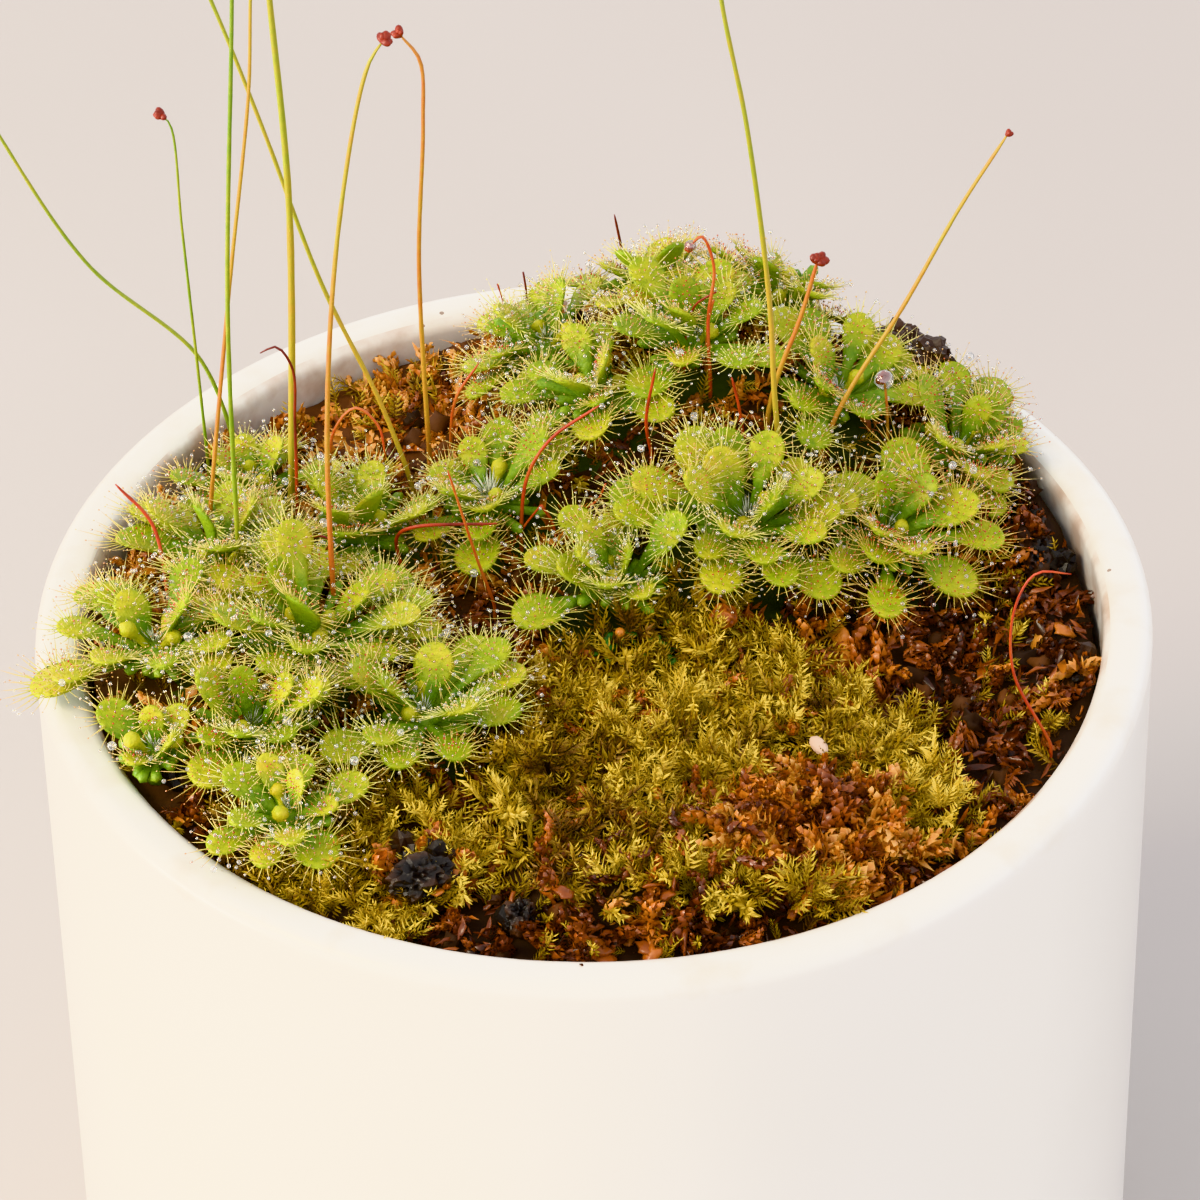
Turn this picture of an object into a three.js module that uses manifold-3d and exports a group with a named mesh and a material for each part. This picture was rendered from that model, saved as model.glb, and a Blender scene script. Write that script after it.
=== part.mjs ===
// A spoon-leaved sundew colony growing in a glazed ceramic pot.
// Millimetres, +Z up. The origin is the middle of the pot's flat base.

import * as THREE from 'three';
import { mergeVertices } from 'three/addons/utils/BufferGeometryUtils.js';
import Module from 'manifold-3d';

const wasm = await Module();
wasm.setup();

// ---------------------------------------------------------------- driving dimensions

// Pot: a straight thick-walled cylinder with a softly rounded rim.
const POT_RADIUS = 45;
const POT_HEIGHT = 82;
const POT_WALL = 4;
const POT_FLOOR = 5;
const POT_SEGMENTS = 44;
const RIM_ROUND = 1.4;

// Clear space between two pieces that touch on the real plant.
const GAP = 0.35;

// Edges shorter than this, left by joining and cutting, are closed up.
const SLIVER = 0.004;
const CLEAN_JOINT = 0.004;
const JOIN_ATTEMPTS = 14;

// Growing medium. Heights in the bedding are measured from the rim plane.
const BED_RADIUS = POT_RADIUS - POT_WALL - 0.5;
const BED_LEVEL = -4;
const MOUNDS = [
  { x: 10, y: 26, height: 10.5, spread: 14.5 },
  { x: -30, y: -7, height: 4.6, spread: 13 },
  { x: 4, y: -30, height: 3.2, spread: 16 },
];
const EDGE_HEIGHT = -0.5;
const EDGE_SLOPE = 1.3;
const CRUMB_DEPTH = 0.4;
const PIT_DEPTH = 1.5;

// Ground cover, each piece an inset with its own outline round a centre.
const COVER_BOTTOM = -7;
const MOSS = { name: 'moss_cushion', x: 9, y: -19, radius: 18, wobble: 0.08, lift: 0.7, tuft: 1.5 };
const SIDE_MOSS = { name: 'moss_patch', x: -19, y: -28, radius: 9.5, wobble: 0.12, lift: 0.5, tuft: 1.1 };
const SPHAGNUM = { name: 'sphagnum_clump', x: 16, y: -27, radius: 8.4, wobble: 0.1, lift: 2.6, tuft: 1.7 };

// Loose bits that lie part-sunk in the ground cover: centre, half sizes and turn in degrees.
const CHIPS = [
  { name: 'charred_bark_1', x: -13.5, y: -32, size: [2.6, 1.9, 1.7], turn: 20, colour: 0x2a211c },
  { name: 'charred_bark_2', x: -6, y: -35.5, size: [1.5, 1.4, 1.6], turn: 70, colour: 0x2f241d },
  { name: 'charred_bark_3', x: 25.5, y: 29.5, size: [2.8, 1.6, 1.3], turn: -35, colour: 0x1d1917 },
  { name: 'charred_bark_4', x: 36.5, y: 9, size: [1.6, 2.8, 1.4], turn: 10, colour: 0x241c18 },
  { name: 'brown_scale', x: 10.5, y: -2.2, size: [1.1, 1.2, 0.9], turn: 0, colour: 0x8a5632 },
  { name: 'seed_husk', x: 17.5, y: -17.6, size: [0.9, 1.6, 0.9], turn: 25, colour: 0xd8b8a4 },
];

// Rosettes: crown place, outer reach of the leaves and how many leaves there are.
const ROSETTES = [
  { x: 12.7, y: 7.5, reach: 12.5, leaves: 11, turn: 20 },
  { x: -8.3, y: 12.8, reach: 9.5, leaves: 7, turn: 60 },
  { x: 8.8, y: 25, reach: 10, leaves: 8, turn: 100 },
  { x: 0.6, y: 21, reach: 9, leaves: 6, turn: 200 },
  { x: 2, y: 2.6, reach: 10, leaves: 7, turn: 250 },
  { x: 24, y: 8.2, reach: 10.5, leaves: 8, turn: -40 },
  { x: 20.5, y: 21, reach: 10, leaves: 7, turn: 0 },
  { x: 30.5, y: 18.5, reach: 9.5, leaves: 7, turn: 30 },
  { x: -3.5, y: 30, reach: 9, leaves: 6, turn: 110 },
  { x: 6, y: 34.2, reach: 8.5, leaves: 5, turn: 95 },
  { x: 16, y: 33, reach: 8.5, leaves: 6, turn: 40 },
  { x: -22.4, y: -5.2, reach: 12, leaves: 11, turn: 150 },
  { x: -13.5, y: -13.4, reach: 10.5, leaves: 7, turn: 220 },
  { x: -30, y: 6.5, reach: 10.5, leaves: 8, turn: 170 },
  { x: -19, y: 10.5, reach: 9.5, leaves: 7, turn: 120 },
  { x: -35, y: -6, reach: 11, leaves: 7, turn: 180 },
  { x: -24, y: -25.8, reach: 7.5, leaves: 6, turn: 250 },
  { x: -34.6, y: -17.6, reach: 6, leaves: 4, turn: 200 },
  { x: -27, y: -15.8, reach: 9.5, leaves: 6, turn: 240 },
  { x: -28.2, y: 18.6, reach: 8, leaves: 5, turn: 90 },
];
const GOLDEN_ANGLE = Math.PI * (3 - Math.sqrt(5));
const CROWN = {
  stem: 1.05,
  hole: 1.5,
  depth: 4,
  radius: 1.9,
  height: 1.6,
  root: 1.7,
  rootOut: 1.15,
  sides: 7,
};

// Leaves: a narrow stalk that widens into a round blade ringed by tentacles. The blade's edge runs from
// neckAngle on the right of its stalk round to the left, in degrees from the leaf's own direction.
const LEAF = {
  thickness: 0.62,
  rootWidth: 0.45,
  rootSink: 0.8,
  neckWidth: 0.6,
  neckAngle: -158,
  blade: 2.55,
  stretch: 1.12,
  droop: 34,
};
const TENTACLE = { flat: [1.7, 0.35], upright: [0.75, 1.5] };

// Room that a leaf keeps, and the steps by which it gives way: degrees up and share of length, then turns.
const LEAF_ROOM = 0.16;
const GROUND_ROOM = 0.35;
const RIM_ROOM = 1.2;
const LOW_STALK = 14;
const BALL = { blade: 0.52, spike: 0.3, tip: 0.15, reach: 4.6 };
const FIT_STEPS = [
  [0, 1], [8, 1], [-6, 1], [15, 1], [0, 0.9], [22, 1], [12, 0.88],
  [32, 0.9], [40, 1.05], [22, 0.78], [50, 0.9], [40, 0.7], [10, 1.2], [30, 1.2],
];
const FIT_TURNS = [0, 9, -9, 18, -18, 27, -27, 38, -38, 50, -50, 65, -65];

// Living scapes: foot, then points of the stalk with heights above the rim, and the tip.
const SCAPES = [
  { foot: [-28.6, 4],
    points: [[-28.2, 4, 27], [-26.3, 4, 57], [-25.2, 4, 78], [-23, 4, 84], [-21.4, 4, 80]],
    radius: 0.36, bud: 0.75, colour: 0x9fae3c },
  { foot: [-31.5, 11], points: [[-28.4, 11, 25], [-26, 11, 43], [-24.6, 11.2, 58], [-23, 11.5, 61]],
    radius: 0.32, bud: 0.7, colour: 0xb98a3e },
  { foot: [-24.8, 15.6],
    points: [[-23.6, 16, 29], [-24.2, 16, 49], [-25, 16, 70], [-24, 16.5, 83], [-21.5, 17, 79]],
    radius: 0.55, bud: 1.0, colour: 0xa9ac45 },
  { foot: [-14.6, 16],
    points: [[-17, 17, 8], [-21.5, 18, 20], [-25.5, 18.5, 35], [-29, 19, 47], [-35, 20, 64]],
    radius: 0.36, bud: 0.75, colour: 0xa8a23c },
  { foot: [-20.8, -1.4],
    points: [[-20.6, -1.2, 20], [-18.8, -1.2, 40], [-16, -1.2, 54.5], [-14.8, -1.2, 56.6]],
    radius: 0.4, bud: 0.8, colour: 0xb59236 },
  { foot: [-13.4, 20.4],
    points: [[-13.6, 20.4, 20], [-12.8, 20.4, 34], [-12.9, 20.4, 40], [-14.4, 20.4, 42.4]],
    radius: 0.38, bud: 0.75, colour: 0xa87a32 },
  { foot: [-32, 22.6], points: [[-32.8, 22.8, 22], [-33.2, 23, 32.4], [-33.8, 23, 33.2]],
    radius: 0.26, bud: 0.8, colour: 0x98a83e },
  { foot: [-30, 26], points: [[-32.5, 26.8, 6], [-41, 27, 15.5], [-47.5, 27, 29], [-51, 27, 38]],
    radius: 0.32, bud: 0.7, colour: 0xa6a84a },
  { foot: [15.6, 12], points: [[15, 12.5, 12], [14.6, 13, 21], [12.8, 13, 38], [10.6, 13, 52], [10, 13, 68]],
    radius: 0.42, bud: 0.85, colour: 0x9aa636 },
  { foot: [14.6, 17.4], points: [[15.4, 17.2, 10], [17.2, 16.8, 16.2], [18.6, 16.4, 22.4]],
    radius: 0.4, bud: 0.95, colour: 0xc98a3c },
  { foot: [19, 15.4], points: [[21, 16.4, 8.5], [25.5, 17, 17], [30, 17, 27], [33.6, 17, 34]],
    radius: 0.4, bud: 0.5, colour: 0xc29236 },
  { foot: [10, 21.4], points: [[9.9, 22.6, 12], [10.4, 23.2, 17], [9.4, 23.4, 19.9], [8.5, 23.4, 19]],
    radius: 0.3, bud: 0.62, colour: 0x9c4a28 },
  { foot: [24.6, 17.8], points: [[24.4, 17.9, 7], [24.2, 18, 9]],
    radius: 0.26, bud: 0.8, colour: 0xb08a5a },
];

// Dead flower stalks, bare and curled.
const DEAD_STALKS = [
  { foot: [-34.4, 2.4], points: [[-35.4, 4.6, 6], [-38.2, 5.4, 9.6]], radius: 0.36, colour: 0xb04a2a },
  { foot: [-24.2, 12.2], points: [[-24, 13.6, 9], [-24, 13.9, 14.6], [-25.2, 14, 16.6], [-26.5, 14, 16]],
    radius: 0.3, colour: 0x7c2a20 },
  { foot: [-21.6, 17.6], points: [[-21, 16.4, 6], [-19, 15.6, 9], [-17.3, 15.2, 7.4], [-16.8, 14.6, 4.6]],
    radius: 0.3, colour: 0xb05a2a },
  { foot: [-15.6, 6.4], points: [[-15.8, 5.6, 3.4], [-14.4, 4.6, 5.2], [-7.6, 4.6, 5.4]],
    radius: 0.34, colour: 0xa3263a },
  { foot: [-5.8, 9.4], points: [[-5.2, 10.2, 5.6], [-3.2, 10.4, 9.4], [0.8, 10.6, 12.6]],
    radius: 0.33, colour: 0xb2402a },
  { foot: [5, 14.6], points: [[4.6, 14.2, 8], [5.4, 13.8, 13.8]], radius: 0.32, colour: 0x8c3f28 },
  { foot: [-8, 1.4], points: [[-9.2, 0.4, 5], [-11.3, 0, 14.6]], radius: 0.27, colour: 0xb65a30 },
  { foot: [-11.6, 19.4], points: [[-11, 18.2, 7.6], [-9, 17.8, 11.6]], radius: 0.3, colour: 0x9a5a30 },
  { foot: [12.6, 14.9], points: [[12.2, 14.6, 9], [11.6, 14.2, 12.4]], radius: 0.32, colour: 0xb04626 },
  { foot: [3.4, 38.4], points: [[3, 37.6, 8], [2.4, 37, 12.4]], radius: 0.3, colour: 0x8c7468 },
  { foot: [36, -14.8], points: [[32.8, -15, 5.2], [32.8, -15, 12], [34.4, -15, 15.2], [37, -15, 15]],
    radius: 0.26, colour: 0xb0422a },
];

const STALK_SINK = 3.5;
const TIP_CROWDING = 1.5;
const SCAPE_SIDES = 5;
const SCAPE_STEPS = 8;
const DEAD_SIDES = 4;
const DEAD_STEPS = 6;

// ---------------------------------------------------------------- small helpers

const degrees = (angle) => angle * Math.PI / 180;

// A repeatable draw between 0 and 1 for a pair of numbers.
function draw(a, b) {
  const wave = Math.sin(a * 12.9898 + b * 78.233) * 43758.5453;
  return wave - Math.floor(wave);
}

const closedGeometry = (points, triangles) => {
  const geometry = new THREE.BufferGeometry();
  geometry.setAttribute('position', new THREE.Float32BufferAttribute(points.flat(), 3));
  geometry.setIndex(triangles.flat());
  return geometry;
};

// The geometry as a solid that can be cut and joined.
function toSolid(geometry) {
  const bare = geometry.clone();
  bare.deleteAttribute('normal');
  bare.deleteAttribute('uv');
  const merged = mergeVertices(bare, 1e-4);
  const triangles = [];
  const index = merged.index.array;
  for (let i = 0; i < index.length; i += 3) {
    const [a, b, c] = [index[i], index[i + 1], index[i + 2]];
    if (a !== b && b !== c && c !== a) triangles.push(a, b, c);
  }
  return new wasm.Manifold(new wasm.Mesh({
    numProp: 3,
    vertProperties: new Float32Array(merged.attributes.position.array),
    triVerts: new Uint32Array(triangles),
  }));
}

// The largest body alone, without slivers: loose scraps go, and a hollow that joining sealed is filled.
function mainBody(solid) {
  const bodies = solid.simplify(SLIVER).decompose();
  return bodies.reduce((best, body) => (body.volume() > best.volume() ? body : best));
}

function toGeometry(solid) {
  const mesh = mainBody(solid).getMesh();
  const geometry = new THREE.BufferGeometry();
  geometry.setAttribute('position', new THREE.BufferAttribute(new Float32Array(mesh.vertProperties), 3));
  geometry.setIndex([...mesh.triVerts]);
  return geometry;
}

function makeMesh(name, geometry, { colour, roughness }) {
  const material = new THREE.MeshStandardMaterial({ color: colour, roughness, metalness: 0 });
  const mesh = new THREE.Mesh(geometry, material);
  mesh.name = name;
  return mesh;
}

// Moves the geometry so that its own zero is at x, y, z, and puts the mesh there instead.
function standAt(mesh, x, y, z) {
  mesh.geometry.translate(-x, -y, -z);
  mesh.position.set(x, y, z);
  return mesh;
}

// ---------------------------------------------------------------- ground

function groundHeight(x, y) {
  const rise = (mound) => {
    const squared = (x - mound.x) ** 2 + (y - mound.y) ** 2;
    return mound.height * Math.exp(-squared / (2 * mound.spread ** 2));
  };
  const hills = BED_LEVEL + MOUNDS.reduce((sum, mound) => sum + rise(mound), 0);
  return Math.min(hills, EDGE_HEIGHT + EDGE_SLOPE * (BED_RADIUS - Math.hypot(x, y)));
}

// Bark and peat crumbs only take away from the smooth height, and so do the pits between them.
const crumbledHeight = (x, y) =>
  groundHeight(x, y) - CRUMB_DEPTH * (1 + Math.sin(1.3 * x + 0.7 * y) * Math.cos(1.1 * y - 0.5 * x));
const crumbPit = (ring, segment) => -PIT_DEPTH * (0.3 + 0.7 * draw(ring, segment));

// How far it is from a point to the edge of the bedding, along an angle.
function reachToWall(x, y, angle) {
  const along = x * Math.cos(angle) + y * Math.sin(angle);
  return -along + Math.sqrt(along ** 2 - x ** 2 - y ** 2 + BED_RADIUS ** 2);
}

function coverOutline(cover, angle) {
  const wave = Math.sin(3 * angle + cover.x) + 0.6 * Math.sin(5 * angle + cover.y);
  return Math.min(cover.radius * (1 + cover.wobble * wave), reachToWall(cover.x, cover.y, angle));
}

// A closed patch of ground: a ringed top that follows a height, a skirt and a flat bottom.
function patch({ x, y, outline, rings, segments, top, peak, bottom }) {
  const points = [[x, y, top(x, y, 0)]];
  const triangles = [];
  const at = (ring, segment) => 1 + (ring - 1) * segments + (segment % segments);
  const quad = (ring, segment) =>
    [at(ring, segment), at(ring + 1, segment), at(ring + 1, segment + 1), at(ring, segment + 1)];
  for (let ring = 1; ring <= rings; ring++) {
    for (let segment = 0; segment < segments; segment++) {
      const angle = 2 * Math.PI * segment / segments;
      const radius = outline(angle) * ring / rings;
      const px = x + radius * Math.cos(angle);
      const py = y + radius * Math.sin(angle);
      points.push([px, py, top(px, py, ring / rings)]);
    }
  }
  for (let segment = 0; segment < segments; segment++) {
    triangles.push([0, at(1, segment), at(1, segment + 1)]);
  }
  for (let ring = 1; ring < rings; ring++) {
    for (let segment = 0; segment < segments; segment++) {
      addQuad(points, triangles, quad(ring, segment), peak ? peak(ring, segment) : 0);
    }
  }
  const first = points.length;
  for (let segment = 0; segment < segments; segment++) {
    const [px, py] = points[at(rings, segment)];
    points.push([px, py, bottom]);
  }
  const middle = points.push([x, y, bottom]) - 1;
  for (let segment = 0; segment < segments; segment++) {
    const next = (segment + 1) % segments;
    triangles.push([at(rings, segment), first + segment, first + next]);
    triangles.push([at(rings, segment), first + next, at(rings, next)]);
    triangles.push([middle, first + next, first + segment]);
  }
  return closedGeometry(points, triangles);
}

// Two triangles, or four that rise to a tuft in the middle.
function addQuad(points, triangles, [a, b, c, d], rise) {
  if (rise === 0) {
    triangles.push([a, b, c], [a, c, d]);
    return;
  }
  const mean = (axis) => (points[a][axis] + points[b][axis] + points[c][axis] + points[d][axis]) / 4;
  const tip = points.push([mean(0), mean(1), mean(2) + rise]) - 1;
  triangles.push([a, b, tip], [b, c, tip], [c, d, tip], [d, a, tip]);
}

function coverSolid(cover, rings, segments, dome) {
  const top = (x, y, edge) => groundHeight(x, y) + cover.lift * (dome ? 1 - edge ** 2 : 1) + 0.2;
  const peak = (ring, segment) => cover.tuft * (0.35 + 0.65 * draw(ring + cover.x, segment));
  const outline = (angle) => coverOutline(cover, angle);
  return toSolid(patch({ ...cover, outline, rings, segments, top, peak, bottom: COVER_BOTTOM }));
}

// The recess that a cover sits in: its outline, one gap wider all round.
function coverRecess(cover, segments) {
  const outline = (angle) => coverOutline(cover, angle) + GAP;
  return toSolid(patch({
    ...cover, outline, rings: 1, segments, top: () => 30, bottom: COVER_BOTTOM - GAP,
  }));
}

function mediumSolid() {
  const bottom = POT_FLOOR + GAP - POT_HEIGHT;
  const outline = () => BED_RADIUS;
  const crumbs = { top: crumbledHeight, peak: crumbPit };
  return toSolid(patch({ x: 0, y: 0, outline, rings: 8, segments: 30, ...crumbs, bottom }));
}

// ---------------------------------------------------------------- loose bits

// A rough lump: a squashed icosahedron with each corner drawn in or out.
function chipSolid(chip, grow) {
  const geometry = mergeVertices(bareIcosahedron());
  const position = geometry.attributes.position;
  for (let i = 0; i < position.count; i++) {
    const uneven = 0.8 + 0.4 * draw(i, chip.x);
    position.setXYZ(i, position.getX(i) * uneven, position.getY(i) * uneven, position.getZ(i) * uneven);
  }
  const [length, width, height] = chip.size;
  geometry.scale(length + grow, width + grow, height + grow);
  geometry.rotateZ(degrees(chip.turn));
  geometry.translate(chip.x, chip.y, coverTop(chip.x, chip.y) + 0.35 * height);
  return toSolid(geometry);
}

function bareIcosahedron() {
  const geometry = new THREE.IcosahedronGeometry(1, 0);
  geometry.deleteAttribute('normal');
  geometry.deleteAttribute('uv');
  return geometry;
}

// ---------------------------------------------------------------- leaves

// The highest that moss or medium may stand at a point.
function coverTop(x, y) {
  const covered = [MOSS, SIDE_MOSS, SPHAGNUM].filter((cover) => {
    const angle = Math.atan2(y - cover.y, x - cover.x);
    return Math.hypot(x - cover.x, y - cover.y) < coverOutline(cover, angle) + 0.5;
  });
  const lift = covered.map((cover) => 0.2 + cover.lift + cover.tuft);
  return groundHeight(x, y) + Math.max(0, ...lift);
}

// Which way is up for a rosette: straight up, leaning a little down its slope.
function slopeUp(x, y) {
  const dx = groundHeight(x + 2, y) - groundHeight(x - 2, y);
  const dy = groundHeight(x, y + 2) - groundHeight(x, y - 2);
  return new THREE.Vector3(-dx / 4, -dy / 4, 1).normalize();
}

// A point of a leaf: so far along its arched middle line, so far across, so far above.
function leafPoint(leaf, along, across, above) {
  const start = degrees(leaf.rise);
  const bend = degrees(-LEAF.droop) / (leaf.length + leaf.blade);
  const angle = start + bend * along;
  const out = (Math.sin(angle) - Math.sin(start)) / bend - above * Math.sin(angle);
  const up = (Math.cos(start) - Math.cos(angle)) / bend + above * Math.cos(angle);
  const flat = leaf.outward + out;
  const heading = leaf.heading;
  const point = new THREE.Vector3(
    flat * Math.cos(heading) - across * Math.sin(heading),
    flat * Math.sin(heading) + across * Math.cos(heading),
    up,
  );
  return point.applyQuaternion(leaf.tilt).add(leaf.root);
}

// The outline from the right of the root, round the blade, to the left of the root.
function leafOutline(leaf) {
  const edge = [[-LEAF.rootSink, -LEAF.rootWidth], [leaf.length * 0.4, -LEAF.rootWidth * 1.1]];
  const turn = -2 * LEAF.neckAngle / (leaf.corners - 1);
  for (let corner = 0; corner < leaf.corners; corner++) {
    const angle = degrees(LEAF.neckAngle + turn * corner);
    edge.push([leaf.length + LEAF.stretch * leaf.blade * Math.cos(angle), leaf.blade * Math.sin(angle)]);
  }
  edge.push([leaf.length * 0.4, LEAF.rootWidth * 1.1], [-LEAF.rootSink, LEAF.rootWidth]);
  return edge;
}

// Tentacle tips, one to each edge of the blade: by turns lying flat and standing up.
function tentacleTips(leaf) {
  const scale = leaf.blade / LEAF.blade;
  const turn = -2 * LEAF.neckAngle / (leaf.corners - 1);
  const tips = [];
  for (let corner = 0; corner < leaf.corners - 1; corner++) {
    const angle = degrees(LEAF.neckAngle + turn * (corner + 0.5));
    const [out, lift] = corner % 2 ? TENTACLE.upright : TENTACLE.flat;
    const radius = leaf.blade * Math.cos(degrees(turn / 2)) + out * scale;
    const along = leaf.length + LEAF.stretch * radius * Math.cos(angle);
    tips.push([along, radius * Math.sin(angle), lift * scale]);
  }
  return tips;
}

function leafSolid(leaf) {
  const edge = leafOutline(leaf);
  const count = edge.length;
  const half = LEAF.thickness / 2;
  const points = [
    ...edge.map(([along, across]) => leafPoint(leaf, along, across, half).toArray()),
    ...edge.map(([along, across]) => leafPoint(leaf, along, across, -half).toArray()),
    ...tentacleTips(leaf).map((tip) => leafPoint(leaf, ...tip).toArray()),
  ];
  const triangles = [];
  for (let row = 0; row < count / 2 - 1; row++) {
    const [right, rightNext, leftNext, left] = [row, row + 1, count - 2 - row, count - 1 - row];
    triangles.push([right, rightNext, leftNext], [right, leftNext, left]);
    triangles.push([count + right, count + leftNext, count + rightNext]);
    triangles.push([count + right, count + left, count + leftNext]);
  }
  for (let corner = 0; corner < count; corner++) {
    const next = (corner + 1) % count;
    const ring = [corner, count + corner, count + next, next];
    const tentacle = corner - 2;
    if (tentacle >= 0 && tentacle < leaf.corners - 1) {
      const tip = 2 * count + tentacle;
      ring.forEach((point, side) => triangles.push([point, ring[(side + 1) % 4], tip]));
    } else {
      triangles.push([ring[0], ring[1], ring[2]], [ring[0], ring[2], ring[3]]);
    }
  }
  return toSolid(closedGeometry(points, triangles));
}

// ---------------------------------------------------------------- room for each leaf

const ball = (centre, radius, near = 1) => ({ centre, radius, near });

// A leaf as a string of small balls; near is 0 at its root and 1 from half way out.
function leafBalls(leaf) {
  const balls = [];
  for (const part of [0.3, 0.55, 0.8]) {
    const along = (leaf.length - leaf.blade) * part;
    balls.push(ball(leafPoint(leaf, along, 0, 0), LEAF.neckWidth, part < 0.5 ? 0 : 1));
  }
  for (const [ring, count] of [[0, 1], [0.5, 6], [0.95, 10]]) {
    for (let i = 0; i < count; i++) {
      const angle = 2 * Math.PI * i / count;
      const along = leaf.length + LEAF.stretch * leaf.blade * ring * Math.cos(angle);
      balls.push(ball(leafPoint(leaf, along, leaf.blade * ring * Math.sin(angle), 0), BALL.blade));
    }
  }
  for (const [along, across, above] of tentacleTips(leaf)) {
    const inner = leaf.length + (along - leaf.length) * 0.8;
    balls.push(ball(leafPoint(leaf, along, across, above), BALL.tip));
    balls.push(ball(leafPoint(leaf, inner, across * 0.8, above * 0.6), BALL.spike));
  }
  return balls;
}

// The low part of a stalk as balls along its straight legs.
function stalkBalls(stalk) {
  const foot = [...stalk.foot, groundHeight(...stalk.foot)];
  const path = [foot, ...stalk.points].map((point) => new THREE.Vector3(...point));
  const isLow = ({ x, y, z }) => z < groundHeight(x, y) + LOW_STALK;
  const balls = [];
  for (let leg = 0; leg < path.length - 1; leg++) {
    const steps = Math.ceil(path[leg].distanceTo(path[leg + 1]) / 0.8);
    for (let step = 0; step < steps; step++) {
      const centre = path[leg].clone().lerp(path[leg + 1], step / steps);
      if (isLow(centre)) balls.push(ball(centre, stalk.radius + 0.15));
    }
  }
  return balls;
}

const tooClose = (one, other) => one.centre.distanceTo(other.centre) < one.radius + other.radius + LEAF_ROOM;

// Whether two leaves, or a leaf and a stalk, come too close; leaves of one rosette may meet at the crown.
function clash(leaf, other, sameRosette) {
  const apart = leaf.balls[3].centre.distanceTo(other.balls[3].centre);
  if (apart > 2 * BALL.reach) return false;
  return leaf.balls.some((one) => (!sameRosette || one.near) &&
    other.balls.some((two) => (!sameRosette || two.near) && tooClose(one, two)));
}

// The lowest that a leaf may hang: above the cover inside the pot, above the rim outside.
function floorHeight(x, y) {
  const inside = coverTop(x, y) + GROUND_ROOM;
  return Math.hypot(x, y) < BED_RADIUS - RIM_ROOM ? inside : Math.max(inside, GROUND_ROOM);
}

function aboveFloor(leaf) {
  const clear = ({ x, y, z }) => z - LEAF.thickness * 0.7 > floorHeight(x, y);
  return leaf.balls.every(({ centre, near }) => !near || clear(centre));
}

function clearOfStems(leaf) {
  const crowns = ROSETTES.filter(({ x, y }) => Math.hypot(x - leaf.root.x, y - leaf.root.y) > 1);
  return leaf.balls.every((one) =>
    STALK_BALLS.every((two) => !tooClose(one, two)) && crowns.every(({ x, y }) => clearOfCrown(one, x, y)));
}

function clearOfCrown({ centre, radius }, x, y) {
  const top = coverTop(x, y) + CROWN.height + 1;
  return centre.z > top + radius + LEAF_ROOM ||
    Math.hypot(centre.x - x, centre.y - y) > CROWN.radius + radius + LEAF_ROOM;
}

// A leaf turns aside, stands up and shortens by steps, until it has room.
function fitLeaf(wished, placed) {
  for (const [lift, shorten] of FIT_STEPS) {
    for (const turn of FIT_TURNS) {
      const leaf = { ...wished, heading: wished.heading + degrees(turn) };
      leaf.rise = wished.rise + lift;
      leaf.length = wished.length * shorten;
      leaf.balls = leafBalls(leaf);
      if (!aboveFloor(leaf) || !clearOfStems(leaf)) continue;
      if (placed.some((other) => clash(leaf, other, leaf.plant === other.plant))) continue;
      return leaf;
    }
  }
  return null;
}

// Leaf number k of a rosette, the oldest first: long and low, then shorter and steeper.
function wishedLeaf(plant, k) {
  const rosette = ROSETTES[plant];
  const age = 1 - k / rosette.leaves;
  const size = Math.sqrt(rosette.reach / 10);
  const blade = LEAF.blade * size * (0.6 + 0.4 * age) * (0.9 + 0.2 * draw(plant, k));
  const reach = rosette.reach * (0.42 + 0.58 * age) * (0.9 + 0.2 * draw(plant, k + 20));
  const up = new THREE.Vector3(0, 0, 1);
  const outward = CROWN.rootOut * (0.45 + 0.55 * age);
  return {
    plant,
    blade,
    heading: degrees(rosette.turn) + GOLDEN_ANGLE * k,
    rise: 58 - 42 * age + 10 * draw(plant, k + 40),
    length: Math.max(reach - 1.5 * blade, 1.5 * blade),
    corners: blade > 2.3 ? 10 : 8,
    outward,
    root: new THREE.Vector3(rosette.x, rosette.y, coverTop(rosette.x, rosette.y) + CROWN.root - 0.7 * age),
    tilt: new THREE.Quaternion().setFromUnitVectors(up, slopeUp(rosette.x, rosette.y)),
  };
}

// All the leaves, one round of the colony for each age, so that neighbours share the room.
function growLeaves() {
  const placed = [];
  const rounds = Math.max(...ROSETTES.map(({ leaves }) => leaves));
  for (let k = 0; k < rounds; k++) {
    ROSETTES.forEach((rosette, plant) => {
      const leaf = k < rosette.leaves && fitLeaf(wishedLeaf(plant, k), placed);
      if (leaf) placed.push(leaf);
    });
  }
  return placed;
}

// ---------------------------------------------------------------- rosettes

// The short stem that the leaves grow from: a peg in the medium under a rounded crown.
function crownSolid(rosette, turn) {
  const base = coverTop(rosette.x, rosette.y);
  const foot = groundHeight(rosette.x, rosette.y) - CROWN.depth;
  const profile = [
    [0, foot], [CROWN.stem, foot], [CROWN.stem, base + 0.5],
    [CROWN.radius, base + 0.9], [CROWN.radius * 0.8, base + CROWN.height + 0.7], [0, base + CROWN.height + 1],
  ].map(([radius, height]) => new THREE.Vector2(radius, height));
  const geometry = new THREE.LatheGeometry(profile, CROWN.sides);
  geometry.rotateX(Math.PI / 2);
  geometry.rotateZ(turn);
  geometry.translate(rosette.x, rosette.y, 0);
  return toSolid(geometry);
}

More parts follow.
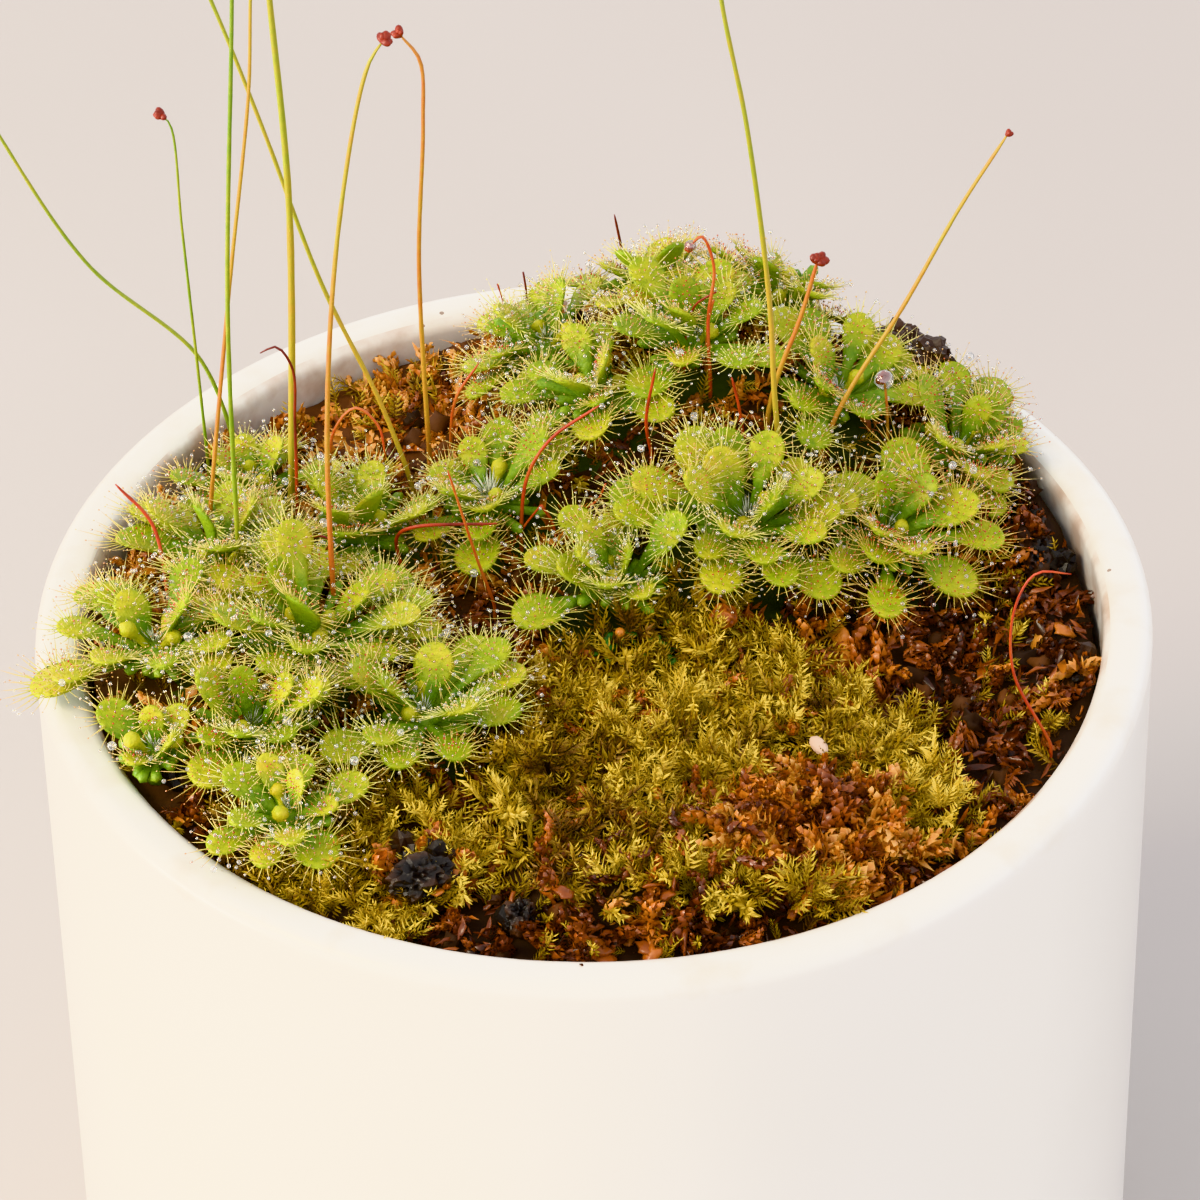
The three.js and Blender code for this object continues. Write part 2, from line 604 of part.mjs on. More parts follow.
// The height of the thinnest triangle of a solid.
function thinnest(solid) {
  const { vertProperties, triVerts } = solid.getMesh();
  const corner = (i) => new THREE.Vector3().fromArray(vertProperties, 3 * triVerts[i]);
  let least = Infinity;
  for (let i = 0; i < triVerts.length; i += 3) {
    const triangle = new THREE.Triangle(corner(i), corner(i + 1), corner(i + 2));
    const { a, b, c } = triangle;
    const longest = Math.max(a.distanceTo(b), b.distanceTo(c), c.distanceTo(a));
    least = Math.min(least, 2 * triangle.getArea() / longest);
  }
  return least;
}

// Crown and leaves in one body. The crown turns a little until the joints leave no slivers.
function joinRosette(rosette, leaves) {
  let best = null;
  for (let attempt = 0; attempt < JOIN_ATTEMPTS; attempt++) {
    const nudged = leaves.map((leaf) => ({ ...leaf, outward: leaf.outward + 0.03 * attempt }));
    const crown = crownSolid(rosette, degrees(5 * attempt));
    const solid = mainBody(nudged.reduce((body, leaf) => body.add(leafSolid(leaf)), crown));
    const least = thinnest(solid);
    if (!best || least > best.least) best = { solid, least };
    if (least > CLEAN_JOINT) break;
  }
  return best.solid;
}

function makeRosette(rosette, plant, leaves) {
  const solid = joinRosette(rosette, leaves.filter((leaf) => leaf.plant === plant));
  const look = { colour: plant % 2 ? 0x7d9c2a : 0x8aa62e, roughness: 0.5 };
  const mesh = makeMesh(`rosette_${plant + 1}`, toGeometry(solid), look);
  return standAt(mesh, rosette.x, rosette.y, groundHeight(rosette.x, rosette.y));
}

// ---------------------------------------------------------------- stalks

function stalkCurve(stalk) {
  const [x, y] = stalk.foot;
  const ground = groundHeight(x, y);
  const buried = [[x, y, ground - STALK_SINK], [x, y, ground], [x, y, ground + 1]];
  const path = [...buried, ...stalk.points].map((point) => new THREE.Vector3(...point));
  return new THREE.CatmullRomCurve3(path, false, 'centripetal');
}

// Stations along a stalk: it tapers a little, and a bud swells over its last stretch.
function stalkStations(curve, stalk, steps) {
  const length = curve.getLength();
  const neck = stalk.bud ? 1 - 2.2 * stalk.bud / length : 1;
  const stations = [];
  for (let step = 0; step <= steps; step++) {
    const u = neck * (1 - (1 - step / steps) ** TIP_CROWDING);
    stations.push({ u, radius: stalk.radius * (1.1 - 0.3 * u) });
  }
  if (stalk.bud) {
    const swell = [[0.3, 0.9], [0.7, 1], [1, 0.45]];
    swell.forEach(([part, size]) => stations.push({ u: neck + (1 - neck) * part, radius: stalk.bud * size }));
  }
  return stations;
}

// A closed tube with few sides whose radius follows the stations.
function tube(curve, stations, sides) {
  const frames = curve.computeFrenetFrames(60, false);
  const points = [];
  const triangles = [];
  for (const { u, radius } of stations) {
    const middle = curve.getPointAt(u);
    const frame = Math.round(u * 60);
    for (let side = 0; side < sides; side++) {
      const angle = 2 * Math.PI * side / sides;
      const point = middle.clone();
      point.addScaledVector(frames.normals[frame], radius * Math.cos(angle));
      point.addScaledVector(frames.binormals[frame], radius * Math.sin(angle));
      points.push(point.toArray());
    }
  }
  for (let ring = 0; ring < stations.length - 1; ring++) {
    for (let side = 0; side < sides; side++) {
      const next = (side + 1) % sides;
      const [a, b] = [ring * sides + side, ring * sides + next];
      triangles.push([a, b, b + sides], [a, b + sides, a + sides]);
    }
  }
  const last = (stations.length - 1) * sides;
  for (let side = 1; side < sides - 1; side++) {
    triangles.push([0, side + 1, side], [last, last + side, last + side + 1]);
  }
  return closedGeometry(points, triangles);
}

function makeStalk(name, stalk, sides, steps) {
  const curve = stalkCurve(stalk);
  const geometry = tube(curve, stalkStations(curve, stalk, steps), sides);
  const mesh = makeMesh(name, geometry, { colour: stalk.colour, roughness: 0.55 });
  return standAt(mesh, ...stalk.foot, groundHeight(...stalk.foot));
}

// A plain upright hole for a stem, wider above the ground where a crown spreads.
function holeSolid(x, y, radius, mouth, depth, sides) {
  const profile = [[0, -depth], [radius, -depth], [radius, 0.1], [mouth, 0.1], [mouth, 12], [0, 12]];
  const geometry = new THREE.LatheGeometry(profile.map((point) => new THREE.Vector2(...point)), sides);
  geometry.rotateX(Math.PI / 2);
  geometry.translate(x, y, groundHeight(x, y));
  return toSolid(geometry);
}

// ---------------------------------------------------------------- pot

function makePot() {
  const inner = POT_RADIUS - POT_WALL;
  const profile = [
    [0, POT_FLOOR], [inner, POT_FLOOR], [inner, POT_HEIGHT - RIM_ROUND],
    [inner + 0.4, POT_HEIGHT - 0.4], [inner + RIM_ROUND, POT_HEIGHT], [POT_RADIUS - RIM_ROUND, POT_HEIGHT],
    [POT_RADIUS - 0.4, POT_HEIGHT - 0.4], [POT_RADIUS, POT_HEIGHT - RIM_ROUND], [POT_RADIUS, 1.2],
    [POT_RADIUS - 1, 0], [0, 0],
  ].map(([radius, height]) => new THREE.Vector2(radius, height)).reverse();
  const geometry = new THREE.LatheGeometry(profile, POT_SEGMENTS);
  geometry.rotateX(Math.PI / 2);
  return makeMesh('pot', geometry, { colour: 0xf4efe6, roughness: 0.3 });
}

// ---------------------------------------------------------------- assembly

function makeBedding() {
  const holes = [
    ...ROSETTES.map(({ x, y }) =>
      holeSolid(x, y, CROWN.hole, CROWN.radius + 1.5 * GAP, CROWN.depth + GAP, CROWN.sides)),
    ...[...SCAPES, ...DEAD_STALKS].map(({ foot: [x, y], radius }) => {
      const hole = 1.25 * (radius * 1.1 + GAP);
      return holeSolid(x, y, hole, hole, STALK_SINK + GAP, 5);
    }),
  ];
  const pockets = CHIPS.map((chip) => chipSolid(chip, 0.55));
  const moss = coverSolid(MOSS, 8, 26, false).subtract(coverRecess(SPHAGNUM, 20));
  const covers = [
    [MOSS.name, moss, { colour: 0x8f8a2e, roughness: 0.9 }],
    [SIDE_MOSS.name, coverSolid(SIDE_MOSS, 4, 16, false), { colour: 0x848a2c, roughness: 0.9 }],
    [SPHAGNUM.name, coverSolid(SPHAGNUM, 5, 18, true), { colour: 0x9a5a24, roughness: 0.9 }],
  ];
  const medium = mediumSolid()
    .subtract(coverRecess(MOSS, 26))
    .subtract(coverRecess(SIDE_MOSS, 16))
    .subtract(coverRecess(SPHAGNUM, 20));
  const layers = [['growing_medium', medium, { colour: 0x5a3a22, roughness: 0.95 }], ...covers];
  const cuts = [...holes, ...pockets];
  const meshes = layers.map(([name, solid, look]) =>
    makeMesh(name, toGeometry(cuts.reduce((body, cut) => body.subtract(cut), solid)), look));
  const chips = CHIPS.map((chip) =>
    makeMesh(chip.name, toGeometry(chipSolid(chip, 0)), { colour: chip.colour, roughness: 0.85 }));
  return [...meshes, ...chips];
}

const STALK_BALLS = [...SCAPES, ...DEAD_STALKS].flatMap(stalkBalls);

const bedding = new THREE.Group();
bedding.position.z = POT_HEIGHT;
bedding.add(...makeBedding());
const leaves = growLeaves();
bedding.add(...ROSETTES.map((rosette, plant) => makeRosette(rosette, plant, leaves)));
bedding.add(...SCAPES.map((stalk, i) => makeStalk(`scape_${i + 1}`, stalk, SCAPE_SIDES, SCAPE_STEPS)));
bedding.add(...DEAD_STALKS.map((stalk, i) =>
  makeStalk(`dead_stalk_${i + 1}`, stalk, DEAD_SIDES, DEAD_STEPS)));

const group = new THREE.Group();
group.add(makePot(), bedding);

export default group;
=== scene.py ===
# %% [markdown]
# # A potted colony of spoon-leaved sundews
#
# A small glazed pot holds a mound of peat and bark. Moss and dead bog moss cover half of it, and on the
# rest some twenty little sundews have grown together. Every leaf is a round pad on a narrow stalk, and
# every pad bristles with tentacles that each carry a bead of dew.
#
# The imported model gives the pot, the plain plants and the ground. This lesson dresses them: each part is
# made again with more points on the same form, and gets a finish of its own. All lengths are in
# millimetres until a mesh is built, and heights in the bedding are counted from the plane of the rim,
# because everything that grows is placed from there.

# %% The frame
import math

import bpy
import numpy as np
from mathutils import Matrix, Vector, noise


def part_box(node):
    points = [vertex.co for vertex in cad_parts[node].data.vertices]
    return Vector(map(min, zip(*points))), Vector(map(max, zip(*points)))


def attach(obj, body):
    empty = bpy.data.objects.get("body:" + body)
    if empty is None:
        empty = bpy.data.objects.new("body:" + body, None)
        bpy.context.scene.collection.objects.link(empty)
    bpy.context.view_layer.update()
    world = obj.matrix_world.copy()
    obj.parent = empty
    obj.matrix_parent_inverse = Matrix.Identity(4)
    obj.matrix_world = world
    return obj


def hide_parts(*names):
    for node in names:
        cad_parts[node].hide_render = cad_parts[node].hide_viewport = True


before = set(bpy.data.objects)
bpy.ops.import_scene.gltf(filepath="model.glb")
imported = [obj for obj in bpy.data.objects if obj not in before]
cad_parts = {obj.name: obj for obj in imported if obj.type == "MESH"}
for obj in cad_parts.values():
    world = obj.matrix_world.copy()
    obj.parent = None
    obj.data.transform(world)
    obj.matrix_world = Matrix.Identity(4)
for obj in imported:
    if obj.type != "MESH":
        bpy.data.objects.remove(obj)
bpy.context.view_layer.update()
MM = 0.001
POT_HEIGHT = round(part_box("pot")[1].z / MM, 1)
POT_RADIUS = round(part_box("pot")[1].x / MM, 1)
print("nodes:", len(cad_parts), "pot:", POT_RADIUS * 2, "x", POT_HEIGHT, "mm")

# %% [markdown]
# ## The camera
#
# The plant is seen from the front and well above, with a long lens from half a metre away. A long lens
# keeps the pot's sides nearly parallel. The camera hangs at a fixed distance from the middle of the rim,
# looks down by its elevation, and is rolled a degree.

# %% The camera
CAMERA_DISTANCE = 504.3
CAMERA_ELEVATION = math.radians(39.473)
CAMERA_ROLL = math.radians(-1.136)
CAMERA_ASIDE = 0.548
CAMERA_ABOVE = 0.768
CAMERA_LENS, CAMERA_SENSOR = 187.54, 36


def make_camera():
    cosine, sine = math.cos(CAMERA_ELEVATION), math.sin(CAMERA_ELEVATION)
    right, up, back = Vector((1, 0, 0)), Vector((0, sine, cosine)), Vector((0, -cosine, sine))
    place = right * CAMERA_ASIDE + up * CAMERA_ABOVE + back * CAMERA_DISTANCE + Vector((0, 0, POT_HEIGHT))
    lens = bpy.data.cameras.new("camera")
    lens.sensor_width, lens.lens = CAMERA_SENSOR, CAMERA_LENS
    lens.clip_start, lens.clip_end = 0.05, 20
    camera = bpy.data.objects.new("camera", lens)
    turn = Matrix((right, up, back)).transposed().to_4x4() @ Matrix.Rotation(CAMERA_ROLL, 4, "Z")
    camera.matrix_world = Matrix.Translation(place * MM) @ turn
    bpy.context.scene.collection.objects.link(camera)
    bpy.context.scene.camera = camera
    return camera


print("camera at", [round(c, 3) for c in make_camera().matrix_world.translation])

# %% [markdown]
# ## Shader maths
#
# A finish mixes patterns: a little noise, a mask along the leaf, a ramp of greens. Writing each node by
# hand hides the thought, so a small class wraps a socket and gives it the usual signs. `1 - mask` then
# adds a Math node by itself. Colours never go through Math nodes, which would turn them grey.


# %% Sockets with arithmetic
class Wire:
    """An output of a finish's nodes, or anything a formula makes of one."""

    def __init__(self, finish, socket):
        self.finish = finish
        self.socket = socket

    def math(self, operation, first, second=0.0):
        return self.finish.node("Math", {"operation": operation}, {0: first, 1: second})

    def __add__(self, other):
        return self.math("ADD", self, other)

    def __sub__(self, other):
        return self.math("SUBTRACT", self, other)

    def __rsub__(self, other):
        return self.math("SUBTRACT", other, self)

    def __mul__(self, other):
        return self.math("MULTIPLY", self, other)

    def __gt__(self, other):
        return self.math("GREATER_THAN", self, other)

    __radd__ = __add__
    __rmul__ = __mul__

    def clamped(self):
        return self.finish.node("Clamp", {}, {0: self})


# %% Finishes
class Finish:
    """A material, built node by node round its principled shader."""

    def __init__(self, name, **constants):
        self.material = bpy.data.materials.new(name)
        self.material.use_nodes = True
        self.tree = self.material.node_tree
        self.shader = self.tree.nodes["Principled BSDF"]
        for socket, value in constants.items():
            self.shader.inputs[socket.replace("_", " ")].default_value = value

    def node(self, kind, settings, sockets, output=0):
        made = self.tree.nodes.new("ShaderNode" + kind)
        for name, value in settings.items():
            if name == "stops":
                fill_ramp(made.color_ramp, value)
            else:
                setattr(made, name, value)
        for key, value in sockets.items():
            self.connect(made.inputs[key], value)
        return Wire(self, made.outputs[output])

    def connect(self, socket, value):
        if isinstance(value, Wire):
            self.tree.links.new(value.socket, socket)
        else:
            socket.default_value = value

    def drive(self, **wires):
        for socket, wire in wires.items():
            self.connect(self.shader.inputs[socket.replace("_", " ")], wire)

    def attribute(self, name):
        return self.node("Attribute", {"attribute_name": name}, {}, "Fac")

    def place(self):
        return self.node("TexCoord", {}, {}, "Object")

    def grain(self, size, detail=3.0):
        """Noise whose lumps are about `size` millimetres across."""
        sockets = {"Vector": self.place(), "Scale": 1 / (size * MM), "Detail": detail}
        return self.node("TexNoise", {}, sockets)

    def ramp(self, factor, stops):
        """A ramp whose stops are rows of place, red, green and blue."""
        stops = [(place, paint(*colour)) for place, *colour in stops]
        return self.node("ValToRGB", {"stops": stops}, {0: factor})

    def blend(self, factor, first, second):
        return self.node("Mix", {"data_type": "RGBA"}, {0: factor, 6: first, 7: second}, 2)

    def bump(self, height, depth, strength=1.0):
        sockets = {"Height": height, "Distance": depth * MM, "Strength": strength}
        return self.node("Bump", {}, sockets)


def fill_ramp(ramp, stops):
    while len(ramp.elements) < len(stops):
        ramp.elements.new(1.0)
    for element, (position, colour) in zip(ramp.elements, stops):
        element.position = position
        element.color = colour


def paint(red, green, blue):
    """A colour as read off a screen, 0 to 255, turned into the linear light that shaders use."""
    shares = [channel / 255 for channel in (red, green, blue)]
    linear = [s / 12.92 if s <= 0.04045 else ((s + 0.055) / 1.055) ** 2.4 for s in shares]
    return (*linear, 1.0)


print("paint(255, 255, 255) =", paint(255, 255, 255))

# %% [markdown]
# ## Glaze
#
# The pot wears a satin white glaze. It is not quite even: it yellows a little where it runs thick, and
# dust and splashes of peat have dried near the rim. A faint coat gives the soft mirror of fired glass over
# the duller clay. The dirt is a mask: fine noise, cut high, and only near the rim. Inside the pot, brown
# blotches are part peat stain and part painted shade on the inner wall.


# %% The glaze
def make_glaze():
    glaze = Finish("glaze", Coat_Weight=0.35, Coat_Roughness=0.18, IOR=1.5)
    x, y, z = (glaze.node("SeparateXYZ", {}, {0: glaze.place()}, axis) for axis in "XYZ")
    height = z * (1 / (POT_HEIGHT * MM))
    cloud = glaze.grain(38, 2)
    body = glaze.ramp(cloud, [(0.3, 235, 232, 226), (0.7, 240, 237, 232)])
    near_rim = ((height - 0.86) * 7.0).clamped()
    stain = (glaze.grain(5.5, 6) * near_rim - 0.5) * 3.0
    stained = glaze.blend(stain.clamped() * 0.5, body, paint(196, 178, 150))
    specks = glaze.node("TexVoronoi", {}, {"Vector": glaze.place(), "Scale": 1 / (3.2 * MM)})
    patchy = (glaze.grain(14, 2) * near_rim) > 0.5
    dots = ((0.07 - specks) > 0.0) * patchy
    # Inside the pot the glaze gets brown blotches: part peat stain, part painted shade on the inner wall.
    inside = (((POT_RADIUS - 3.4) * MM) ** 2 - (x * x + y * y)) > 0.0
    inside_stain_and_shade = ((glaze.grain(4.5, 5) - 0.42) * 5.0).clamped() * inside * 0.55
    stained_and_shaded = glaze.blend(inside_stain_and_shade, stained, paint(168, 122, 84))
    coloured = glaze.blend(dots * 0.8, stained_and_shaded, paint(120, 84, 48))
    ripple = glaze.bump(glaze.grain(16, 0), 0.04, 0.2)
    glaze.drive(Base_Color=coloured, Roughness=glaze.grain(11, 2) * 0.12 + 0.26, Normal=ripple)
    return glaze.material


GLAZE = make_glaze()
print("made", GLAZE.name)

# %% [markdown]
# ## Living green
#
# Sundew leaves are thin and full of water, so light that falls on the back of a pad glows through the
# front. Subsurface scattering could do that, but in a pad half a millimetre thick it looks the same as a
# brighter, yellower green, and takes far longer to render, so the green is simply brighter. Three numbers
# ride on every vertex: `part`, from 0 at the root to 1 at the end of the pad; `tone`, drawn once for each
# leaf; and `side`, 1 on the face and 0 on the back. The stalks are a deeper green than the pads, and the
# backs are smooth and plain.


# %% Leaves
def make_blade():
    blade = Finish("blade", IOR=1.4)
    part, tone, side = (blade.attribute(name) for name in ("part", "tone", "side"))
    mottle = blade.grain(0.9, 4)
    greens = [(0.1, 92, 132, 28), (0.45, 146, 164, 38), (0.85, 194, 188, 60)]
    pad = blade.ramp(tone * 0.55 + mottle * 0.9 - 0.22, greens)
    stalk = blade.ramp(mottle, [(0.3, 86, 130, 34), (0.7, 136, 166, 56)])
    along = ((part - 0.45) * 3.2).clamped()
    face = blade.blend(along, stalk, pad)
    back = blade.blend(0.55, face, paint(122, 156, 44))
    warm = ((blade.grain(2.6, 2) - 0.56) * 4.0).clamped() * along * 0.45
    colour = blade.blend(warm, blade.blend(side, back, face), paint(206, 150, 62))
    relief = blade.bump(blade.grain(0.34, 3), 0.16, 0.8)
    blade.drive(Base_Color=colour, Roughness=0.52 - side * 0.14, Normal=relief)
    return blade.material


BLADE = make_blade()
print("made", BLADE.name)

# %% [markdown]
# ## Tentacles, glands and dew
#
# A tentacle is a glassy pale hair with a gland at its end, wine red on strong light-fed pads and nearly
# colourless on young ones. The gland sweats a bead of glue. The bead is mostly seen by its highlights, so
# it is a clear shell: a Transparent shader mixed with a glossy one by the angle of view, which is brighter
# and quieter than true refraction in thousands of beads this small.


# %% Tentacle, gland, dew
def make_tentacle():
    hair = Finish("tentacle", Roughness=0.3)
    part, tone = hair.attribute("part"), hair.attribute("tone")
    young = [(0.0, 176, 190, 66), (0.5, 228, 226, 136), (1.0, 250, 242, 186)]
    ripe = [(0.0, 192, 186, 70), (0.5, 232, 206, 126), (1.0, 236, 160, 112)]
    hair.drive(Base_Color=hair.blend(tone, hair.ramp(part, young), hair.ramp(part, ripe)))
    return hair.material


def make_gland():
    gland = Finish("gland", Roughness=0.18, Coat_Weight=1.0, Coat_Roughness=0.05)
    reds = [(0.15, 236, 226, 160), (0.5, 228, 176, 110), (0.85, 196, 72, 52)]
    gland.drive(Base_Color=gland.ramp(gland.attribute("tone"), reds))
    return gland.material


def make_dew():
    dew = Finish("dew", Roughness=0.04, Base_Color=(1.0, 1.0, 1.0, 1.0), Metallic=1.0)
    clear = dew.node("BsdfTransparent", {}, {0: (1.0, 1.0, 1.0, 1.0)})
    edge = dew.node("LayerWeight", {}, {"Blend": 0.32}, "Fresnel")
    both = dew.node("MixShader", {}, {0: edge * 0.6 + 0.18, 1: clear, 2: Wire(dew, dew.shader.outputs[0])})
    dew.tree.links.new(both.socket, dew.tree.nodes["Material Output"].inputs["Surface"])
    return dew.material


TENTACLE, GLAND, DEW = make_tentacle(), make_gland(), make_dew()
print("made", TENTACLE.name, GLAND.name, DEW.name)

# %% [markdown]
# ## Moss, dead moss, peat and char
#
# The ground is where the colours are: yellow-green moss with pale tips, the rust and honey of wet dead
# bog moss, nearly black peat in the gaps, and bark that has been through a fire. Each is a ramp driven by
# the same vertex numbers, so that every shoot and flake has a colour of its own.


# %% Ground finishes
def make_ramped(name, stops, by_tone=0.58, by_part=0.26, **constants):
    """A finish for many small pieces: a ramp over each piece's own tone, and over its length."""
    finish = Finish(name, **constants)
    tone = finish.attribute("tone") * by_tone + finish.attribute("part") * by_part
    colour = finish.ramp(tone + finish.grain(0.9, 3) * 0.22, stops)
    finish.drive(Base_Color=colour, Normal=finish.bump(finish.grain(0.25, 2), 0.05, 0.6))
    return finish.material


MOSS = make_ramped(
    "moss",
    [(0.12, 44, 26, 8), (0.34, 120, 80, 20), (0.56, 180, 148, 38), (0.84, 240, 212, 98)],
    by_tone=0.52,
    by_part=0.4,
    Roughness=0.5,
)
DEAD_MOSS = make_ramped(
    "dead_moss",
    [(0.14, 38, 16, 9), (0.34, 108, 50, 20), (0.54, 172, 94, 36)]
    + [(0.7, 208, 134, 58), (0.9, 238, 188, 108)],
    by_part=0.18,
    Roughness=0.42,
    Coat_Weight=0.28,
    Coat_Roughness=0.14,
)
PEAT = make_ramped(
    "peat", [(0.15, 20, 12, 7), (0.5, 58, 34, 17), (0.9, 112, 66, 32)], Roughness=0.75
)
CHAR = make_ramped(
    "char", [(0.15, 10, 9, 9), (0.5, 32, 28, 27), (0.85, 84, 54, 36)], Roughness=0.45
)
# Painted shade: the peat under the rosettes gets this dark green, the colour of the shade the leaves cast
# there.
UNDERLEAF_GREEN_SHADE = make_ramped(
    "painted_green_shade", [(0.2, 26, 30, 9), (0.55, 58, 72, 22), (0.9, 108, 124, 44)], Roughness=0.6
)
LIVERWORT = make_ramped(
    "liverwort", [(0.2, 24, 70, 26), (0.55, 62, 122, 48), (0.9, 128, 176, 80)], Roughness=0.35
)
HUSK = make_ramped(
    "husk", [(0.2, 206, 170, 146), (0.6, 226, 198, 178), (0.95, 240, 222, 206)], Roughness=0.5
)
SILVER = make_ramped(
    "silver_hair", [(0.2, 170, 178, 140), (0.6, 214, 218, 196), (0.95, 244, 246, 238)], Roughness=0.3
)
STALK = make_ramped(
    "stalk",
    [(0.1, 104, 140, 40), (0.28, 156, 160, 58), (0.46, 190, 154, 66)]
    + [(0.64, 192, 118, 62), (0.84, 186, 70, 42), (1.0, 108, 34, 26)],
    by_tone=0.86,
    by_part=0.0,
    Roughness=0.4,
)
print("materials:", len(bpy.data.materials))

# %% [markdown]
# ## Gathering points into meshes
#
# One sundew has a thousand tentacles, and the moss has thousands of shoots. An object for each would choke
# the scene, so points and triangles are gathered in a heap with numpy, and each heap becomes one mesh. The
# heap keeps the vertex numbers that the finishes read.


# %% The heap
class Heap:
    """Triangles of one piece, with a finish for each and three numbers for each point."""

    def __init__(self):
        self.points, self.faces, self.slots, self.numbers, self.count = [], [], [], [], 0

    def add(self, points, faces, slot=0, part=0.0, tone=0.5, side=1.0):
        points = np.asarray(points, float).reshape(-1, 3)
        faces = np.asarray(faces, int).reshape(-1, 3)
        columns = [np.broadcast_to(value, len(points)) for value in (part, tone, side)]
        self.points.append(points)
        self.faces.append(faces + self.count)
        self.slots.append(np.broadcast_to(slot, len(faces)))
        self.numbers.append(np.stack(columns, 1))
        self.count += len(points)

    def build(self, name, finishes, smooth=True):
        points, faces = np.concatenate(self.points), np.concatenate(self.faces)
        world = (points + (0, 0, POT_HEIGHT)) * MM
        mesh = bpy.data.meshes.new(name)
        mesh.vertices.add(len(world))
        mesh.vertices.foreach_set("co", world.astype(np.float32).ravel())
        mesh.loops.add(faces.size)
        mesh.loops.foreach_set("vertex_index", faces.astype(np.int32).ravel())
        mesh.polygons.add(len(faces))
        mesh.polygons.foreach_set("loop_start", np.arange(0, faces.size, 3, dtype=np.int32))
        mesh.polygons.foreach_set("material_index", np.concatenate(self.slots).astype(np.int32))
        mesh.polygons.foreach_set("use_smooth", np.full(len(faces), smooth))
        for column, key in enumerate(("part", "tone", "side")):
            values = np.concatenate(self.numbers)[:, column].astype(np.float32)
            mesh.attributes.new(key, "FLOAT", "POINT").data.foreach_set("value", values)
        for finish in finishes:
            mesh.materials.append(finish)
        mesh.update(calc_edges=True)
        piece = bpy.data.objects.new(name, mesh)
        bpy.context.scene.collection.objects.link(piece)
        return piece


triangles = {}


def settle(piece, slot, *nodes):
    """The piece rides with the pot and stands for its nodes. The slot is not used."""
    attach(piece, "root")
    if nodes:
        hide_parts(*nodes)
    triangles[piece.name] = len(piece.data.polygons)
    return piece


# %% [markdown]
# Many pieces are the same small shape over and over. A stamp is such a shape with its own points, and
# `press` sets it down at many places at once: each gets a direction, a size and a tone.


# %% Stamps
def frames_along(directions, rolls):
    """Right-handed frames whose third axis is the direction, each rolled about it."""
    ahead = directions / np.linalg.norm(directions, axis=1, keepdims=True)
    helper = np.where(np.abs(ahead[:, 2:]) > 0.9, (1.0, 0.0, 0.0), (0.0, 0.0, 1.0))
    first = np.cross(helper, ahead)
    first /= np.linalg.norm(first, axis=1, keepdims=True)
    second = np.cross(ahead, first)
    cosine, sine = np.cos(rolls)[:, None], np.sin(rolls)[:, None]
    return np.stack([first * cosine + second * sine, second * cosine - first * sine, ahead], 1)


def press(heap, stamp, places, directions, sizes, tones, slot=0, rolls=None):
    """Sets a stamp (points, faces, part) down at every place."""
    points, faces, part = stamp
    count = len(places)
    if not count:
        return
    rolls = np.zeros(count) if rolls is None else rolls
    sizes = np.broadcast_to(np.asarray(sizes, float).reshape(count, -1), (count, 3))
    local = points[None] * sizes[:, None]
    moved = np.einsum("nki,nij->nkj", local, frames_along(directions, rolls)) + places[:, None]
    shifted = faces[None] + (np.arange(count) * len(points))[:, None, None]
    tone = np.repeat(np.broadcast_to(tones, count), len(points))
    heap.add(moved, shifted, slot, np.tile(part, count), tone)


def tube_faces(rings, sides, closed=True):
    """Triangles between rings of points, with a fan over each end."""
    faces = []
    for ring in range(rings - 1):
        for side in range(sides):
            a, b = ring * sides + side, ring * sides + (side + 1) % sides
            faces += [(a, b, b + sides), (a, b + sides, a + sides)]
    if closed:
        last = (rings - 1) * sides
        for side in range(1, sides - 1):
            faces += [(0, side + 1, side), (last, last + side, last + side + 1)]
    return np.array(faces)


def bead_stamp():
    """A small round bead: an icosahedron, which smooth shading rounds off."""
    long = (1 + 5**0.5) / 2
    raw = [(-1, long, 0), (1, long, 0), (-1, -long, 0), (1, -long, 0)]
    raw += [(0, -1, long), (0, 1, long), (0, -1, -long), (0, 1, -long)]
    raw += [(long, 0, -1), (long, 0, 1), (-long, 0, -1), (-long, 0, 1)]
    points = np.array(raw) / math.hypot(1, long)
    faces = [(0, 11, 5), (0, 5, 1), (0, 1, 7), (0, 7, 10), (0, 10, 11), (1, 5, 9), (5, 11, 4)]
    faces += [(11, 10, 2), (10, 7, 6), (7, 1, 8), (3, 9, 4), (3, 4, 2), (3, 2, 6), (3, 6, 8)]
    faces += [(3, 8, 9), (4, 9, 5), (2, 4, 11), (6, 2, 10), (8, 6, 7), (9, 8, 1)]
    return points, np.array(faces), np.full(12, 0.5)


def rounder(stamp):
    """The same bead with every triangle split in four and pushed out to the sphere."""
    points, faces, _ = stamp
    points, made, seen = list(points), [], {}

    def middle(a, b):
        key = (min(a, b), max(a, b))
        if key not in seen:
            between = points[a] + points[b]
            points.append(between / np.linalg.norm(between))
            seen[key] = len(points) - 1
        return seen[key]

    for a, b, c in faces:
        ab, bc, ca = middle(a, b), middle(b, c), middle(c, a)
        made += [(a, ab, ca), (b, bc, ab), (c, ca, bc), (ab, bc, ca)]
    return np.array(points), np.array(made), np.full(len(points), 0.5)


def seed_stamp():
    """An octahedron, for what is only a few hundredths of a millimetre across."""
    points = np.array([(1, 0, 0), (0, 1, 0), (-1, 0, 0), (0, -1, 0), (0, 0, 1), (0, 0, -1)], float)
    faces = [(0, 1, 4), (1, 2, 4), (2, 3, 4), (3, 0, 4), (1, 0, 5), (2, 1, 5), (3, 2, 5), (0, 3, 5)]
    return points, np.array(faces), np.full(6, 0.5)


BEAD, SEED = bead_stamp(), seed_stamp()
BEAD_FINE = rounder(BEAD)
BEAD_FINEST = rounder(rounder(BEAD_FINE))
print("a bead has", len(BEAD[1]), "triangles, a gland", len(SEED[1]))

